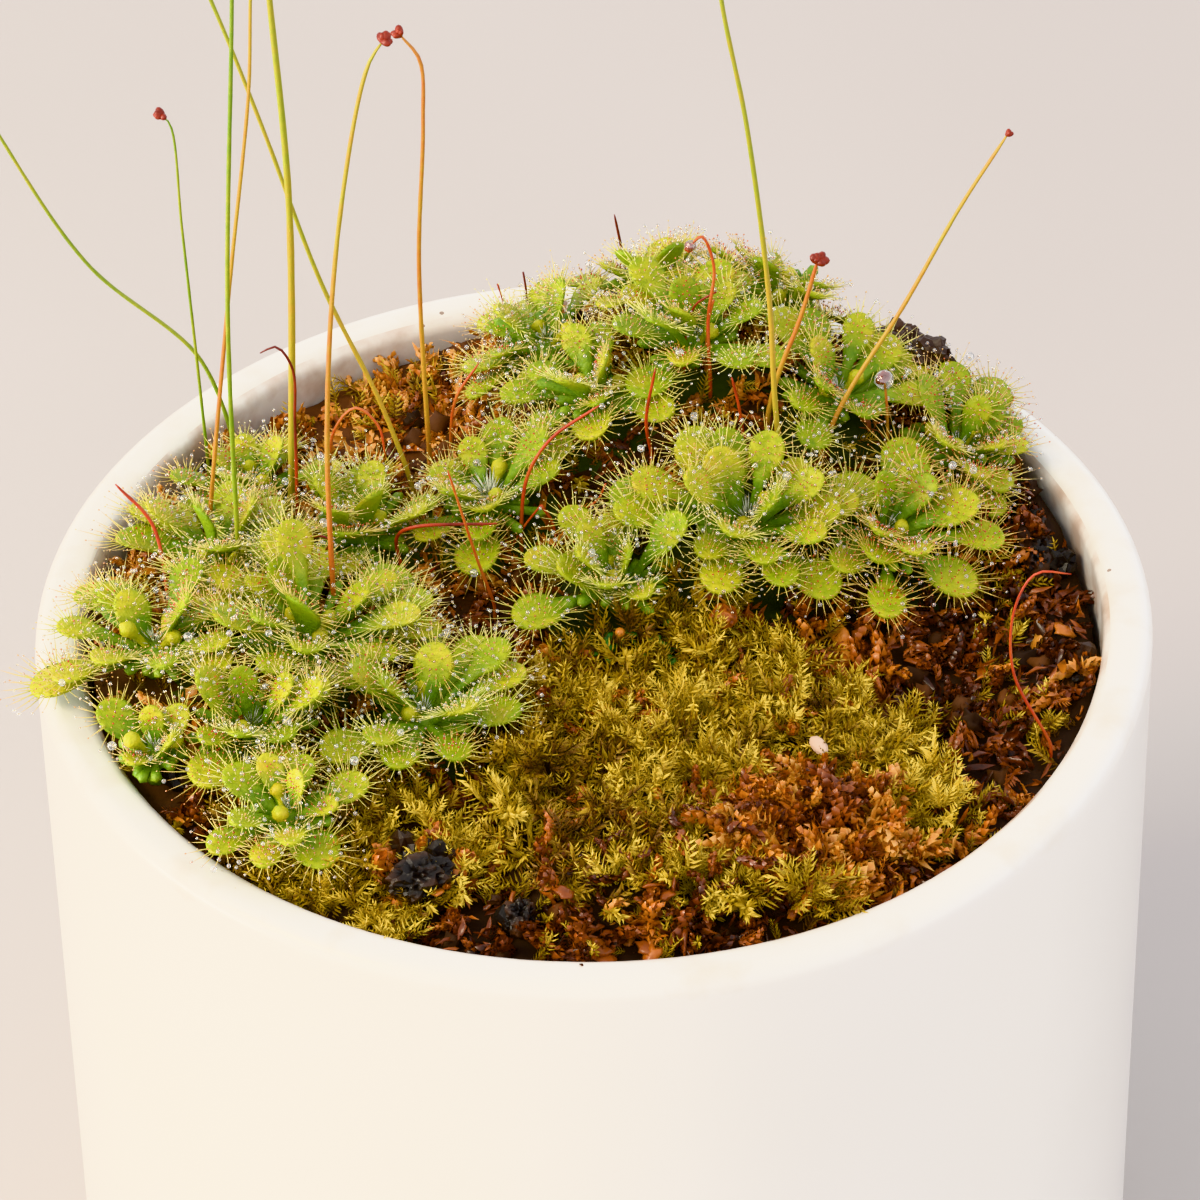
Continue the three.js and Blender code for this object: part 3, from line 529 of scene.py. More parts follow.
# %% [markdown]
# ## The lie of the land
#
# The bedding is a mound behind the middle, a lower one on the left and a gentle swell in front, and it
# falls away at the wall. Each cover of moss has a wavy outline. These are the same formulas as the plain
# solids were made with, so that what grows here stands exactly where they do.


# %% Heights and outlines
WALL = 4.0
BED_RADIUS = POT_RADIUS - WALL - 0.5
BED_LEVEL = -4.0
MOUNDS = [(10, 26, 10.5, 14.5), (-30, -7, 4.6, 13), (4, -30, 3.2, 16)]
EDGE_HEIGHT, EDGE_SLOPE = -0.5, 1.3
COVERS = {
    "moss_cushion": {"x": 9, "y": -19, "radius": 18, "wobble": 0.08, "lift": 0.7, "tuft": 1.5},
    "moss_patch": {"x": -19, "y": -28, "radius": 9.5, "wobble": 0.12, "lift": 0.5, "tuft": 1.1},
    "sphagnum_clump": {"x": 16, "y": -27, "radius": 8.4, "wobble": 0.1, "lift": 2.6, "tuft": 1.7},
}
rng = np.random.default_rng(7)


def draw(a, b):
    """A repeatable draw between 0 and 1 for a pair of numbers."""
    wave = math.sin(a * 12.9898 + b * 78.233) * 43758.5453
    return wave - math.floor(wave)


def hills(rows, x, y):
    """How high smooth hills stand at a point, from rows of place, height and spread."""
    total = 0
    for hx, hy, height, spread in rows:
        total = total + height * np.exp(-((x - hx) ** 2 + (y - hy) ** 2) / (2 * spread**2))
    return total


def ground_height(x, y):
    wall_side = EDGE_HEIGHT + EDGE_SLOPE * (BED_RADIUS - np.hypot(x, y))
    return np.minimum(BED_LEVEL + hills(MOUNDS, x, y), wall_side)


def cover_outline(cover, angle):
    x, y = cover["x"], cover["y"]
    wave = np.sin(3 * angle + x) + 0.6 * np.sin(5 * angle + y)
    along = x * np.cos(angle) + y * np.sin(angle)
    to_wall = -along + np.sqrt(along**2 - x**2 - y**2 + BED_RADIUS**2)
    return np.minimum(cover["radius"] * (1 + cover["wobble"] * wave), to_wall)


def within(cover, x, y, margin=0.0):
    angle = np.arctan2(y - cover["y"], x - cover["x"])
    return np.hypot(x - cover["x"], y - cover["y"]) < cover_outline(cover, angle) + margin


def cover_top(x, y):
    """The highest that moss or medium may stand at a point."""
    lift = np.zeros(np.shape(x))
    for cover in COVERS.values():
        inside = within(cover, x, y, 0.5)
        lift = np.maximum(lift, np.where(inside, 0.2 + cover["lift"] + cover["tuft"], 0))
    return ground_height(x, y) + lift


def slope_up(x, y):
    dx = ground_height(x + 2, y) - ground_height(x - 2, y)
    dy = ground_height(x, y + 2) - ground_height(x, y - 2)
    return Vector((-dx / 4, -dy / 4, 1)).normalized()


ROSETTES = [
    # x, y, reach, leaves, turn
    (12.7, 7.5, 12.5, 11, 20),
    (-8.3, 12.8, 9.5, 7, 60),
    (8.8, 25, 10, 8, 100),
    (0.6, 21, 9, 6, 200),
    (2, 2.6, 10, 7, 250),
    (24, 8.2, 10.5, 8, -40),
    (20.5, 21, 10, 7, 0),
    (30.5, 18.5, 9.5, 7, 30),
    (-3.5, 30, 9, 6, 110),
    (6, 34.2, 8.5, 5, 95),
    (16, 33, 8.5, 6, 40),
    (-22.4, -5.2, 12, 11, 150),
    (-13.5, -13.4, 10.5, 7, 220),
    (-30, 6.5, 10.5, 8, 170),
    (-19, 10.5, 9.5, 7, 120),
    (-35, -6, 11, 7, 180),
    (-24, -25.8, 7.5, 6, 250),
    (-34.6, -17.6, 6, 4, 200),
    (-27, -15.8, 9.5, 6, 240),
    (-28.2, 18.6, 8, 5, 90),
]
print("top of the mound:", round(float(ground_height(10.0, 26.0)), 1), "mm above the rim")

# %% [markdown]
# ## The pot
#
# A straight cylinder, thrown and turned, with a soft rounded rim. A profile is spun round the axis. Two
# slow waves make the rim a shade uneven, as hand work is, because a perfect circle of light along the rim
# is what gives a modelled pot away.

# %% The pot
RIM_ROUND = 1.4
FLOOR = 5.0
POT_SEGMENTS = 132


def rim_arc(centre, start):
    """A quarter of the rim's rounding, as radius and height."""
    turns = np.radians(np.linspace(start, start - 90, 7))
    height = POT_HEIGHT - RIM_ROUND
    return [(centre + RIM_ROUND * np.cos(a), height + RIM_ROUND * np.sin(a)) for a in turns]


def make_pot():
    inner = POT_RADIUS - WALL
    wall_heights = np.linspace(2.4, POT_HEIGHT - RIM_ROUND - 1, 10)
    profile = [(0.01, FLOOR), (inner - 2, FLOOR), (inner, FLOOR + 2), (inner, POT_HEIGHT / 2)]
    profile += rim_arc(inner + RIM_ROUND, 180) + rim_arc(POT_RADIUS - RIM_ROUND, 90)
    profile += [(POT_RADIUS, h) for h in wall_heights[::-1]]
    profile += [(POT_RADIUS - 0.2, 0.7), (POT_RADIUS - 0.8, 0.1), (POT_RADIUS - 1.6, 0), (0.01, 0)]
    profile = np.array(profile)[::-1]
    angle = 2 * np.pi * np.arange(POT_SEGMENTS) / POT_SEGMENTS
    radius, height = profile[:, :1], profile[:, 1:]
    high = (height / POT_HEIGHT) ** 3
    uneven = high * (0.1 * np.sin(2 * angle + 1) + 0.07 * np.sin(5 * angle)) * (radius > 1)
    x, y = (radius + uneven) * np.cos(angle), (radius + uneven) * np.sin(angle)
    z = height + high * 0.12 * np.sin(3 * angle + 2) - POT_HEIGHT
    heap = Heap()
    heap.add(np.stack([x, y, z], -1), tube_faces(len(profile), POT_SEGMENTS))
    return settle(heap.build("glazed_pot", [GLAZE]), "pot_glaze", "pot")


print("pot:", len(make_pot().data.polygons), "triangles")

# %% [markdown]
# ## Peat under everything
#
# Peat is crumbs on crumbs, so its surface is a fine grid pushed up and down by noise at two sizes. Real
# relief matters more here than bump: the dark gaps between crumbs are what makes the moss and litter above
# them read as loose. Under the rosettes the peat is painted dark green: painted shade, the green shade
# that the leaves cast there.

# %% The growing medium
PEAT_RINGS, PEAT_SEGMENTS = 44, 124
GREEN_SHADE_SHARE, GREEN_SHADE_TO_WALL = 0.6, 6
BANKS = [(38, 14, 1.8, 4.5), (30, 29, 1.5, 5), (40, -6, 1.0, 4)]


def bank(x, y):
    """How much litter has piled up against the wall at a point."""
    return hills(BANKS, x, y)


def paleness(x, y):
    """The litter is bleached at the back left and dark along the right and front walls."""
    return 0.35 + 0.5 * np.clip((y - 1.1 * x) / 42, -0.35, 1)


def under_leaves(x, y, share):
    """Whether a point lies under a rosette, out to a share of its reach."""
    covered = np.zeros(np.shape(x), bool)
    for cx, cy, reach, *_ in ROSETTES:
        covered |= np.hypot(x - cx, y - cy) < share * reach
    return covered


def crumbs(x, y):
    """Height of the peat's lumps at a point, always below the plain ground."""
    place = Vector((x, y, 0))
    coarse = noise.noise(place * 0.45)
    fine = noise.noise(place * 1.3 + Vector((7, 3, 1)))
    return -0.9 + 0.75 * coarse + 0.45 * fine + bank(x, y)


def make_peat():
    radius = BED_RADIUS * (np.arange(PEAT_RINGS) + 0.02) / (PEAT_RINGS - 1)
    radius[-1] = BED_RADIUS
    angle = 2 * np.pi * np.arange(PEAT_SEGMENTS) / PEAT_SEGMENTS
    x, y = radius[:, None] * np.cos(angle), radius[:, None] * np.sin(angle)
    relief = np.array([crumbs(px, py) for px, py in zip(x.ravel(), y.ravel())]).reshape(x.shape)
    z = ground_height(x, y) + relief
    floor = np.stack([x[-1], y[-1], np.full(PEAT_SEGMENTS, FLOOR + 0.35 - POT_HEIGHT)], -1)
    points = np.concatenate([floor, np.stack([x, y, z], -1)[::-1].reshape(-1, 3)])
    faces = tube_faces(PEAT_RINGS + 1, PEAT_SEGMENTS)
    mid_x, mid_y, _ = points[faces].mean(1).T
    # Faces under the rosettes, away from the wall, take the painted green shade.
    green_shade_faces = under_leaves(mid_x, mid_y, GREEN_SHADE_SHARE) & (np.hypot(mid_x, mid_y) < BED_RADIUS - GREEN_SHADE_TO_WALL)
    heap = Heap()
    heap.add(points, faces, green_shade_faces, tone=0.1 + 1.1 * paleness(points[:, 0], points[:, 1]))
    return settle(heap.build("peat_bed", [PEAT, UNDERLEAF_GREEN_SHADE]), "medium", "growing_medium")


print("peat:", len(make_peat().data.polygons), "triangles")

# %% [markdown]
# ## Leaves, placed so that none cross
#
# Each sundew throws leaves at the golden angle, the oldest low and long, the youngest short and steep. A
# leaf is tried as a string of little balls. If it would touch the ground, a stalk or a neighbour, it turns
# aside, stands up or shortens by small steps until it has room. The plain solids follow this very rule, so
# the leaves made here fall on theirs. After them come smaller leaves that fill the gaps.

# %% The colony
GOLDEN_ANGLE = math.pi * (3 - 5**0.5)
CROWN_RADIUS, CROWN_HEIGHT, CROWN_ROOT, CROWN_OUT = 1.9, 1.6, 1.7, 1.15
BLADE_RADIUS, BLADE_STRETCH, NECK_ANGLE, DROOP = 2.55, 1.12, -158, 34
LEAF_THICKNESS, ROOT_SINK = 0.62, 0.8
TIP_FLAT, TIP_UPRIGHT = (1.7, 0.35), (0.75, 1.5)
LEAF_ROOM, GROUND_ROOM, RIM_ROOM, LOW_STALK, BALL_REACH = 0.16, 0.35, 1.2, 14, 4.6
FIT_STEPS = [(0, 1), (8, 1), (-6, 1), (15, 1), (0, 0.9), (22, 1), (12, 0.88)]
FIT_STEPS += [(32, 0.9), (40, 1.05), (22, 0.78), (50, 0.9), (40, 0.7), (10, 1.2), (30, 1.2)]
FIT_TURNS = np.radians([0, 9, -9, 18, -18, 27, -27, 38, -38, 50, -50, 65, -65])


# %% One leaf
class Leaf:
    """A leaf's measures, and where a point of it lies: along its arched middle, across, above."""

    def __init__(self, plant, blade, reach, age, rise, heading, outward):
        x, y = ROSETTES[plant][:2]
        self.plant, self.blade, self.rise, self.heading, self.outward = plant, blade, rise, heading, outward
        self.length = max(reach - 1.5 * blade, 1.5 * blade)
        self.root = np.array([x, y, float(cover_top(x, y)) + CROWN_ROOT - 0.7 * age])
        tilt = Vector((0, 0, 1)).rotation_difference(slope_up(x, y))
        self.tilt = np.array(tilt.to_matrix()).T
        self.corners = 10 if blade > 2.3 else 8

    def local(self, along, across, above):
        start = math.radians(self.rise)
        bend = math.radians(-DROOP) / (self.length + self.blade)
        angle = start + bend * along
        out = (np.sin(angle) - math.sin(start)) / bend - above * np.sin(angle)
        up = (math.cos(start) - np.cos(angle)) / bend + above * np.cos(angle)
        return self.outward + out, across, up

    def at(self, along, across, above, headings=None):
        """Points of the leaf, for its own heading or for several at once."""
        headings = np.array([self.heading]) if headings is None else headings
        flat, across, up = np.broadcast_arrays(*self.local(along, across, above))
        cosine, sine = np.cos(headings)[:, None], np.sin(headings)[:, None]
        x, y = flat * cosine - across * sine, flat * sine + across * cosine
        points = np.stack([x, y, np.broadcast_to(up, x.shape)], -1) @ self.tilt + self.root
        return points[0] if len(headings) == 1 else points

    def tips(self):
        """The plain solid's coarse tentacle tips, by turns flat and upright."""
        scale = self.blade / BLADE_RADIUS
        turn = -2 * NECK_ANGLE / (self.corners - 1)
        corner = np.arange(self.corners - 1)
        angle = np.radians(NECK_ANGLE + turn * (corner + 0.5))
        out = np.where(corner % 2, TIP_UPRIGHT[0], TIP_FLAT[0]) * scale
        lift = np.where(corner % 2, TIP_UPRIGHT[1], TIP_FLAT[1]) * scale
        radius = self.blade * math.cos(math.radians(turn / 2)) + out
        return self.length + BLADE_STRETCH * radius * np.cos(angle), radius * np.sin(angle), lift

    def balls(self):
        """Local places of the balls, their radii, and which count against the leaf's own rosette."""
        places = [((self.length - self.blade) * part, 0, 0) for part in (0.3, 0.55, 0.8)]
        for ring, count in ((0, 1), (0.5, 6), (0.95, 10)):
            for angle in 2 * np.pi * np.arange(count) / count:
                along = self.length + BLADE_STRETCH * self.blade * ring * math.cos(angle)
                places.append((along, self.blade * ring * math.sin(angle), 0))
        radii = [0.6] * 3 + [0.52] * 17
        for along, across, lift in zip(*self.tips()):
            inner = self.length + (along - self.length) * 0.8
            places += [(along, across, lift), (inner, across * 0.8, lift * 0.6)]
            radii += [0.15, 0.3]
        near = np.arange(len(places)) > 0
        return np.array(places).T, np.array(radii), near


# %% Room for a leaf
def stalk_balls(stalks):
    """The low part of every stalk as balls along its straight legs: centres and radii."""
    centres, radii = [], []
    for foot, points, radius, *_ in stalks:
        path = [np.array([*foot, float(ground_height(*foot))]), *np.array(points, float)]
        for start, end in zip(path, path[1:]):
            steps = math.ceil(np.linalg.norm(end - start) / 0.8)
            for step in range(steps):
                centre = start + (end - start) * step / steps
                if centre[2] < ground_height(centre[0], centre[1]) + LOW_STALK:
                    centres.append(centre)
                    radii.append(radius + 0.15)
    return np.array(centres), np.array(radii)


def too_close(one, one_radii, two, two_radii, room):
    """For each set of balls in `one`, whether any comes too near a ball in `two`."""
    gaps = np.linalg.norm(one[:, :, None] - two[None, None], axis=-1)
    return (gaps < one_radii[None, :, None] + two_radii[None, None] + room).any((1, 2))


def free_turns(leaf, headings, placed, stalks, crowns, room):
    """Which of the headings leave the leaf clear of ground, stalks, crowns and other leaves."""
    places, radii, near = leaf.balls()
    balls = leaf.at(*places, headings)
    x, y, z = balls[..., 0], balls[..., 1], balls[..., 2]
    inside = cover_top(x, y) + GROUND_ROOM
    floor = np.where(np.hypot(x, y) < BED_RADIUS - RIM_ROOM, inside, np.maximum(inside, GROUND_ROOM))
    free = (~near | (z - LEAF_THICKNESS * 0.7 > floor)).all(1)
    if not free.any():
        return free, balls
    free &= ~too_close(balls, radii, *stalks, room)
    for plant, (cx, cy, top) in enumerate(crowns):
        if plant != leaf.plant:
            above = z > top + radii + room
            aside = np.hypot(x - cx, y - cy) > CROWN_RADIUS + radii + room
            free &= (above | aside).all(1)
    for other in placed:
        close = np.linalg.norm(balls[:, 3] - other["balls"][3], axis=1) <= 2 * BALL_REACH
        if not (free & close).any():
            continue
        same = other["leaf"].plant == leaf.plant
        mine, theirs = (near, other["near"]) if same else (near | True, other["near"] | True)
        touch = too_close(balls[:, mine], radii[mine], other["balls"][theirs], other["radii"][theirs], room)
        free &= ~(touch & close)
    return free, balls


def fit_leaf(leaf, placed, stalks, crowns, room):
    rise, length = leaf.rise, leaf.length
    headings = leaf.heading + FIT_TURNS
    for lift, shorten in FIT_STEPS:
        leaf.rise, leaf.length = rise + lift, length * shorten
        free, balls = free_turns(leaf, headings, placed, stalks, crowns, room)
        if free.any():
            turn = int(np.argmax(free))
            _, radii, near = leaf.balls()
            leaf.heading = headings[turn]
            return {"leaf": leaf, "balls": balls[turn], "radii": radii, "near": near}
    return None


# %% Growing them
FILLER_ROOM = -0.42
FILLER_SHARE = 1.15


def wished_leaf(plant, k):
    _, _, reach, leaves, turn = ROSETTES[plant]
    age = 1 - k / leaves
    size = math.sqrt(reach / 10)
    blade = BLADE_RADIUS * size * (0.6 + 0.4 * age) * (0.9 + 0.2 * draw(plant, k))
    length = reach * (0.42 + 0.58 * age) * (0.9 + 0.2 * draw(plant, k + 20))
    rise = 58 - 42 * age + 10 * draw(plant, k + 40)
    heading = math.radians(turn) + GOLDEN_ANGLE * k
    return Leaf(plant, blade, length, age, rise, heading, CROWN_OUT * (0.45 + 0.55 * age))


def filler_leaf(plant, k):
    """A smaller leaf for a gap: anywhere round the crown, at any age."""
    _, _, reach, _, turn = ROSETTES[plant]
    age = 0.35 + 0.65 * draw(plant, k + 60)
    blade = BLADE_RADIUS * math.sqrt(reach / 10) * (0.5 + 0.3 * age)
    length = reach * (0.4 + 0.6 * age)
    rise = 62 - 34 * age
    heading = math.radians(turn) + GOLDEN_ANGLE * (k + 0.5)
    return Leaf(plant, blade, length, age, rise, heading, CROWN_OUT * (0.4 + 0.6 * age))


def grow_leaves(stalks):
    crowns = [(x, y, float(cover_top(x, y)) + CROWN_HEIGHT + 1) for x, y, *_ in ROSETTES]
    placed = []
    for k in range(max(row[3] for row in ROSETTES)):
        for plant, row in enumerate(ROSETTES):
            found = k < row[3] and fit_leaf(wished_leaf(plant, k), placed, stalks, crowns, LEAF_ROOM)
            if found:
                placed.append(found)
    main = len(placed)
    for plant, row in enumerate(ROSETTES):
        for k in range(round(row[3] * FILLER_SHARE)):
            found = fit_leaf(filler_leaf(plant, k), placed, stalks, crowns, FILLER_ROOM)
            if found:
                placed.append(found)
    print("leaves of the solids:", main, "smaller leaves between them:", len(placed) - main)
    return [row["leaf"] for row in placed]


# %% [markdown]
# ## The flower stalks
#
# Sundews hold their flowers far above the traps, on stalks thinner than a match. The living ones run from
# green through yellow to orange and end in a nodding knot of buds. The dead ones are bare, red and curled.
# Each row gives the foot, some points on the way, the radius, how ripe the stalk is at its foot and at its
# tip, from 0 for green to 1 for dark red, and the size of its knot of buds, which is 0 on a dead one.

# %% Stalk table
SCAPES = [
    # foot, points on the way, radius, ripeness at foot and tip, size of the buds
    ((-28.6, 4), [(-28.2, 4, 27), (-26.3, 4, 57), (-25.2, 4, 78), (-23, 4, 84), (-21.4, 4, 80)],
     0.36, (0.12, 0.06), 0.75),
    ((-31.5, 11), [(-28.4, 11, 25), (-26, 11, 43), (-24.6, 11.2, 58), (-23, 11.5, 61)],
     0.32, (0.62, 0.3), 0.7),
    ((-24.8, 15.6), [(-23.6, 16, 29), (-24.2, 16, 49), (-25, 16, 70), (-24, 16.5, 83), (-21.5, 17, 79)],
     0.55, (0.34, 0.16), 1.0),
    ((-14.6, 16), [(-17, 17, 8), (-21.5, 18, 20), (-25.5, 18.5, 35), (-29, 19, 47), (-35, 20, 64)],
     0.36, (0.4, 0.14), 0.75),
    ((-20.8, -1.4), [(-20.6, -1.2, 20), (-18.8, -1.2, 40), (-16, -1.2, 54.5), (-14.8, -1.2, 56.6)],
     0.4, (0.72, 0.24), 0.8),
    ((-13.4, 20.4), [(-13.6, 20.4, 20), (-12.8, 20.4, 34), (-12.9, 20.4, 40), (-14.4, 20.4, 42.4)],
     0.38, (0.46, 0.56), 0.75),
    ((-32, 22.6), [(-32.8, 22.8, 22), (-33.2, 23, 32.4), (-33.8, 23, 33.2)], 0.26, (0.08, 0.1), 0.8),
    ((-30, 26), [(-32.5, 26.8, 6), (-41, 27, 15.5), (-47.5, 27, 29), (-51, 27, 38)],
     0.32, (0.1, 0.16), 0.7),
    ((15.6, 12), [(15, 12.5, 12), (14.6, 13, 21), (12.8, 13, 38), (10.6, 13, 52), (10, 13, 68)],
     0.42, (0.4, 0.1), 0.85),
    ((14.6, 17.4), [(15.4, 17.2, 10), (17.2, 16.8, 16.2), (18.6, 16.4, 22.4)], 0.4, (0.34, 0.66), 0.95),
    ((19, 15.4), [(21, 16.4, 8.5), (25.5, 17, 17), (30, 17, 27), (33.6, 17, 34)], 0.36, (0.5, 0.34), 0.5),
    ((10, 21.4), [(9.9, 22.6, 12), (10.4, 23.2, 17), (9.4, 23.4, 19.9), (8.5, 23.4, 19)],
     0.3, (0.8, 0.74), 0.62),
    ((24.6, 17.8), [(24.4, 17.9, 7), (24.2, 18, 9)], 0.26, (0.5, 0.6), 0.8),
]
DEAD_STALKS = [
    ((-34.4, 2.4), [(-35.4, 4.6, 6), (-38.2, 5.4, 9.6)], 0.36, (0.7, 0.9), 0),
    ((-24.2, 12.2), [(-24, 13.6, 9), (-24, 13.9, 14.6), (-25.2, 14, 16.6), (-26.5, 14, 16)],
     0.3, (0.8, 1.1), 0),
    ((-21.6, 17.6), [(-21, 16.4, 6), (-19, 15.6, 9), (-17.3, 15.2, 7.4), (-16.8, 14.6, 4.6)],
     0.3, (0.62, 0.78), 0),
    ((-15.6, 6.4), [(-15.8, 5.6, 3.4), (-14.4, 4.6, 5.2), (-7.6, 4.6, 5.4)], 0.34, (0.85, 0.98), 0),
    ((-5.8, 9.4), [(-5.2, 10.2, 5.6), (-3.2, 10.4, 9.4), (0.8, 10.6, 12.6)], 0.33, (0.72, 0.9), 0),
    ((5, 14.6), [(4.6, 14.2, 8), (5.4, 13.8, 13.8)], 0.32, (0.75, 0.95), 0),
    ((-8, 1.4), [(-9.2, 0.4, 5), (-11.3, 0, 14.6)], 0.27, (0.7, 0.75), 0),
    ((-11.6, 19.4), [(-11, 18.2, 7.6), (-9, 17.8, 11.6)], 0.3, (0.6, 0.8), 0),
    ((12.6, 14.9), [(12.2, 14.6, 9), (11.6, 14.2, 12.4)], 0.32, (0.75, 0.9), 0),
    ((3.4, 38.4), [(3, 37.6, 8), (2.4, 37, 12.4)], 0.3, (1.1, 1.2), 0),
    ((36, -14.8), [(32.8, -15, 5.2), (32.8, -15, 12), (34.4, -15, 15.2), (37, -15, 15)],
     0.26, (0.82, 0.86), 0),
]
STALK_SINK = 3.5


# %% Drawing a stalk
def smooth_path(points, steps):
    """A centripetal Catmull-Rom curve through the points, as evenly spaced stations."""
    points = np.array(points, float)
    ends = np.concatenate([[2 * points[0] - points[1]], points, [2 * points[-1] - points[-2]]])
    drawn = []
    for p0, p1, p2, p3 in zip(ends, ends[1:], ends[2:], ends[3:]):
        knots = np.cumsum([0, *(np.sqrt(np.linalg.norm(b - a)) for a, b in ((p0, p1), (p1, p2), (p2, p3)))])
        for t in np.linspace(knots[1], knots[2], 24, endpoint=False):
            low = [a + (b - a) * (t - k) / (m - k)
                   for a, b, k, m in ((p0, p1, *knots[:2]), (p1, p2, *knots[1:3]), (p2, p3, *knots[2:]))]
            mid = [
                low[i] + (low[i + 1] - low[i]) * (t - knots[i]) / (knots[i + 2] - knots[i]) for i in (0, 1)
            ]
            drawn.append(mid[0] + (mid[1] - mid[0]) * (t - knots[1]) / (knots[2] - knots[1]))
    drawn = np.array([*drawn, points[-1]])
    travelled = np.concatenate([[0], np.cumsum(np.linalg.norm(np.diff(drawn, axis=0), axis=1))])
    wanted = np.linspace(0, travelled[-1], steps)
    return np.stack([np.interp(wanted, travelled, drawn[:, axis]) for axis in range(3)], -1)


def sweep(heap, path, radii, sides, part, tone):
    """A closed tube along a path, its section carried along without twisting."""
    ahead = np.gradient(path, axis=0)
    ahead /= np.linalg.norm(ahead, axis=1, keepdims=True)
    across = np.cross(ahead[0], (0.3, 1, 0.1))
    rings = []
    turn = 2 * np.pi * np.arange(sides) / sides
    for middle, direction, radius in zip(path, ahead, radii):
        across = across - direction * (across @ direction)
        across /= np.linalg.norm(across)
        other = np.cross(direction, across)
        rings.append(middle + radius * (np.cos(turn)[:, None] * across + np.sin(turn)[:, None] * other))
    part, tone = (np.repeat(np.broadcast_to(number, len(path)), sides) for number in (part, tone))
    heap.add(rings, tube_faces(len(path), sides), 0, part, tone)


BUDS, BUD_RIPE = 8, 0.98


def add_buds(heap, tip, direction, size, seed):
    """A knot of small buds of several sizes at the end of a scape."""
    spread = np.array([[draw(seed, i), draw(seed, i + 9), draw(seed, i + 18)] for i in range(BUDS)]) - 0.5
    ways = direction * 0.9 + spread * 1.8
    ways /= np.linalg.norm(ways, axis=1, keepdims=True)
    places = tip + ways * size * 0.3
    lengths = size * (0.95 - 0.35 * np.array([draw(seed, i + 30) for i in range(BUDS)]))
    sizes = np.stack([lengths * 0.5, lengths * 0.5, lengths * 0.8], 1)
    press(heap, BEAD_FINE, places, ways, sizes, BUD_RIPE)


LIVE_SHARE, DEAD_SHARE = 0.53, 0.48
LIVE_STEPS, DEAD_STEPS, STALK_SIDES = 56, 36, 8
BIG_DEW = {12: 0.5, 13: 0.85}


def make_stalk(name, node, stalk, seed, steps):
    (x, y), points, radius, (foot, tip), bud = stalk
    ground = float(ground_height(x, y))
    start = [(x, y, ground - STALK_SINK), (x, y, ground), (x, y, ground + 1)]
    path = smooth_path([*start, *points], steps)
    share = np.linspace(0, 1, steps)
    wiry = 1 + 0.07 * np.sin(share * 90 + seed) * (0.4 + 0.6 * np.sin(share * 23 + seed * 2))
    radii = radius * (LIVE_SHARE if bud else DEAD_SHARE) * (1.15 - 0.4 * share) * wiry
    radii[-3:] *= (0.9, 0.75, 0.45)
    heap = Heap()
    ripe = foot + (tip - foot) * share + 0.05 * np.sin(share * 17 + seed)
    sweep(heap, path, radii, STALK_SIDES, 0.3, ripe)
    if bud:
        direction = path[-1] - path[-3]
        direction /= np.linalg.norm(direction)
        add_buds(heap, path[-1], direction, bud, seed)
        if seed in BIG_DEW:
            press(heap, BEAD_FINE, path[-1:], direction[None], [BIG_DEW[seed]], 1.0, 1)
    return settle(heap.build(name, [STALK, DEW]), node.rsplit("_", 1)[0], node)


for number, stalk in enumerate(SCAPES, 1):
    make_stalk(f"flower_stalk_{number}", f"scape_{number}", stalk, number, LIVE_STEPS)
for number, stalk in enumerate(DEAD_STALKS, 1):
    make_stalk(f"bare_stalk_{number}", f"dead_stalk_{number}", stalk, number + 40, DEAD_STEPS)
print("stalks:", len(SCAPES) + len(DEAD_STALKS))

# %% [markdown]
# Here and there a thread of an old stalk is left, thinner than the rest, some of them forked.

# %% Thin dead stems
THREADS = [
    [(-7.9, 9, -6.2), (-7.1, 9, -2.0), (-5.7, 9, 1.2), (-4.1, 9, 3.7)],
    [(-4.1, 9, 3.7), (-3.2, 9, 1.9), (-3.0, 9, -0.5), (-3.9, 9, -3.3)],
    [(-3.0, 9.3, 0.2), (-1.4, 9.5, 2.2), (0.5, 9.5, 3.7), (1.2, 9.5, 5.4)],
    [(-26.7, 3, 1.0), (-24.8, 3, 4.2), (-23.2, 3, 5.3), (-22.0, 3, 5.8), (-21.1, 3, 5.3), (-21.8, 3, 3.7)],
    [(-6.8, 37, -3), (-7.2, 37, 3.7), (-7.6, 37, 5.4)],
    [(-5.1, 37, -3), (-5.2, 37, 4.7), (-5.4, 37, 6.6)],
    [(7.9, 24, 5), (8.1, 24, 9.4), (8.9, 24, 12.5), (10.6, 24, 13.8)],
    [(9.7, 24, 5), (9.9, 24, 10.4), (10.4, 24, 13.0)],
    [(-15.8, 6, -4.5), (-14.3, 6, -2.0), (-12.4, 6, 0.4)],
    [(-0.3, 12, -8.9), (-0.7, 12, -4.6), (-0.1, 12, -0.4)],
]
THREAD_STEPS = 22


def make_threads():
    heap = Heap()
    for number, points in enumerate(THREADS):
        share = np.linspace(0, 1, THREAD_STEPS)
        ripe = 0.6 + 0.4 * draw(number, 3) + 0.1 * share
        sweep(heap, smooth_path(points, THREAD_STEPS), 0.14 - 0.05 * share, 6, 0.3, ripe)
    return settle(heap.build("thin_dead_stems", [STALK]), "dead_stalk")


print("threads:", len(make_threads().data.polygons), "triangles")

# %% Where every leaf goes
LEAVES = grow_leaves(stalk_balls(SCAPES + DEAD_STALKS))

# %% [markdown]
# ## The form of a leaf
#
# A leaf is a tube whose section changes: nearly round in the narrow stalk, then wide, thin and slightly
# dished in the pad. The half-width is that of the stalk or of the round pad, whichever is larger, eased
# into each other. The stations crowd towards the tip, where a circle turns fastest.

# %% Leaf surface
SECTION = 10
STALK_WIDTH = 0.5
PAD_HALF = 0.26
PAD_SHARE = 0.79


def leaf_dish(leaf):
    """How much the pad is dished, which no two leaves share."""
    return 0.04 + 0.3 * draw(leaf.plant + 11, leaf.blade * 10)


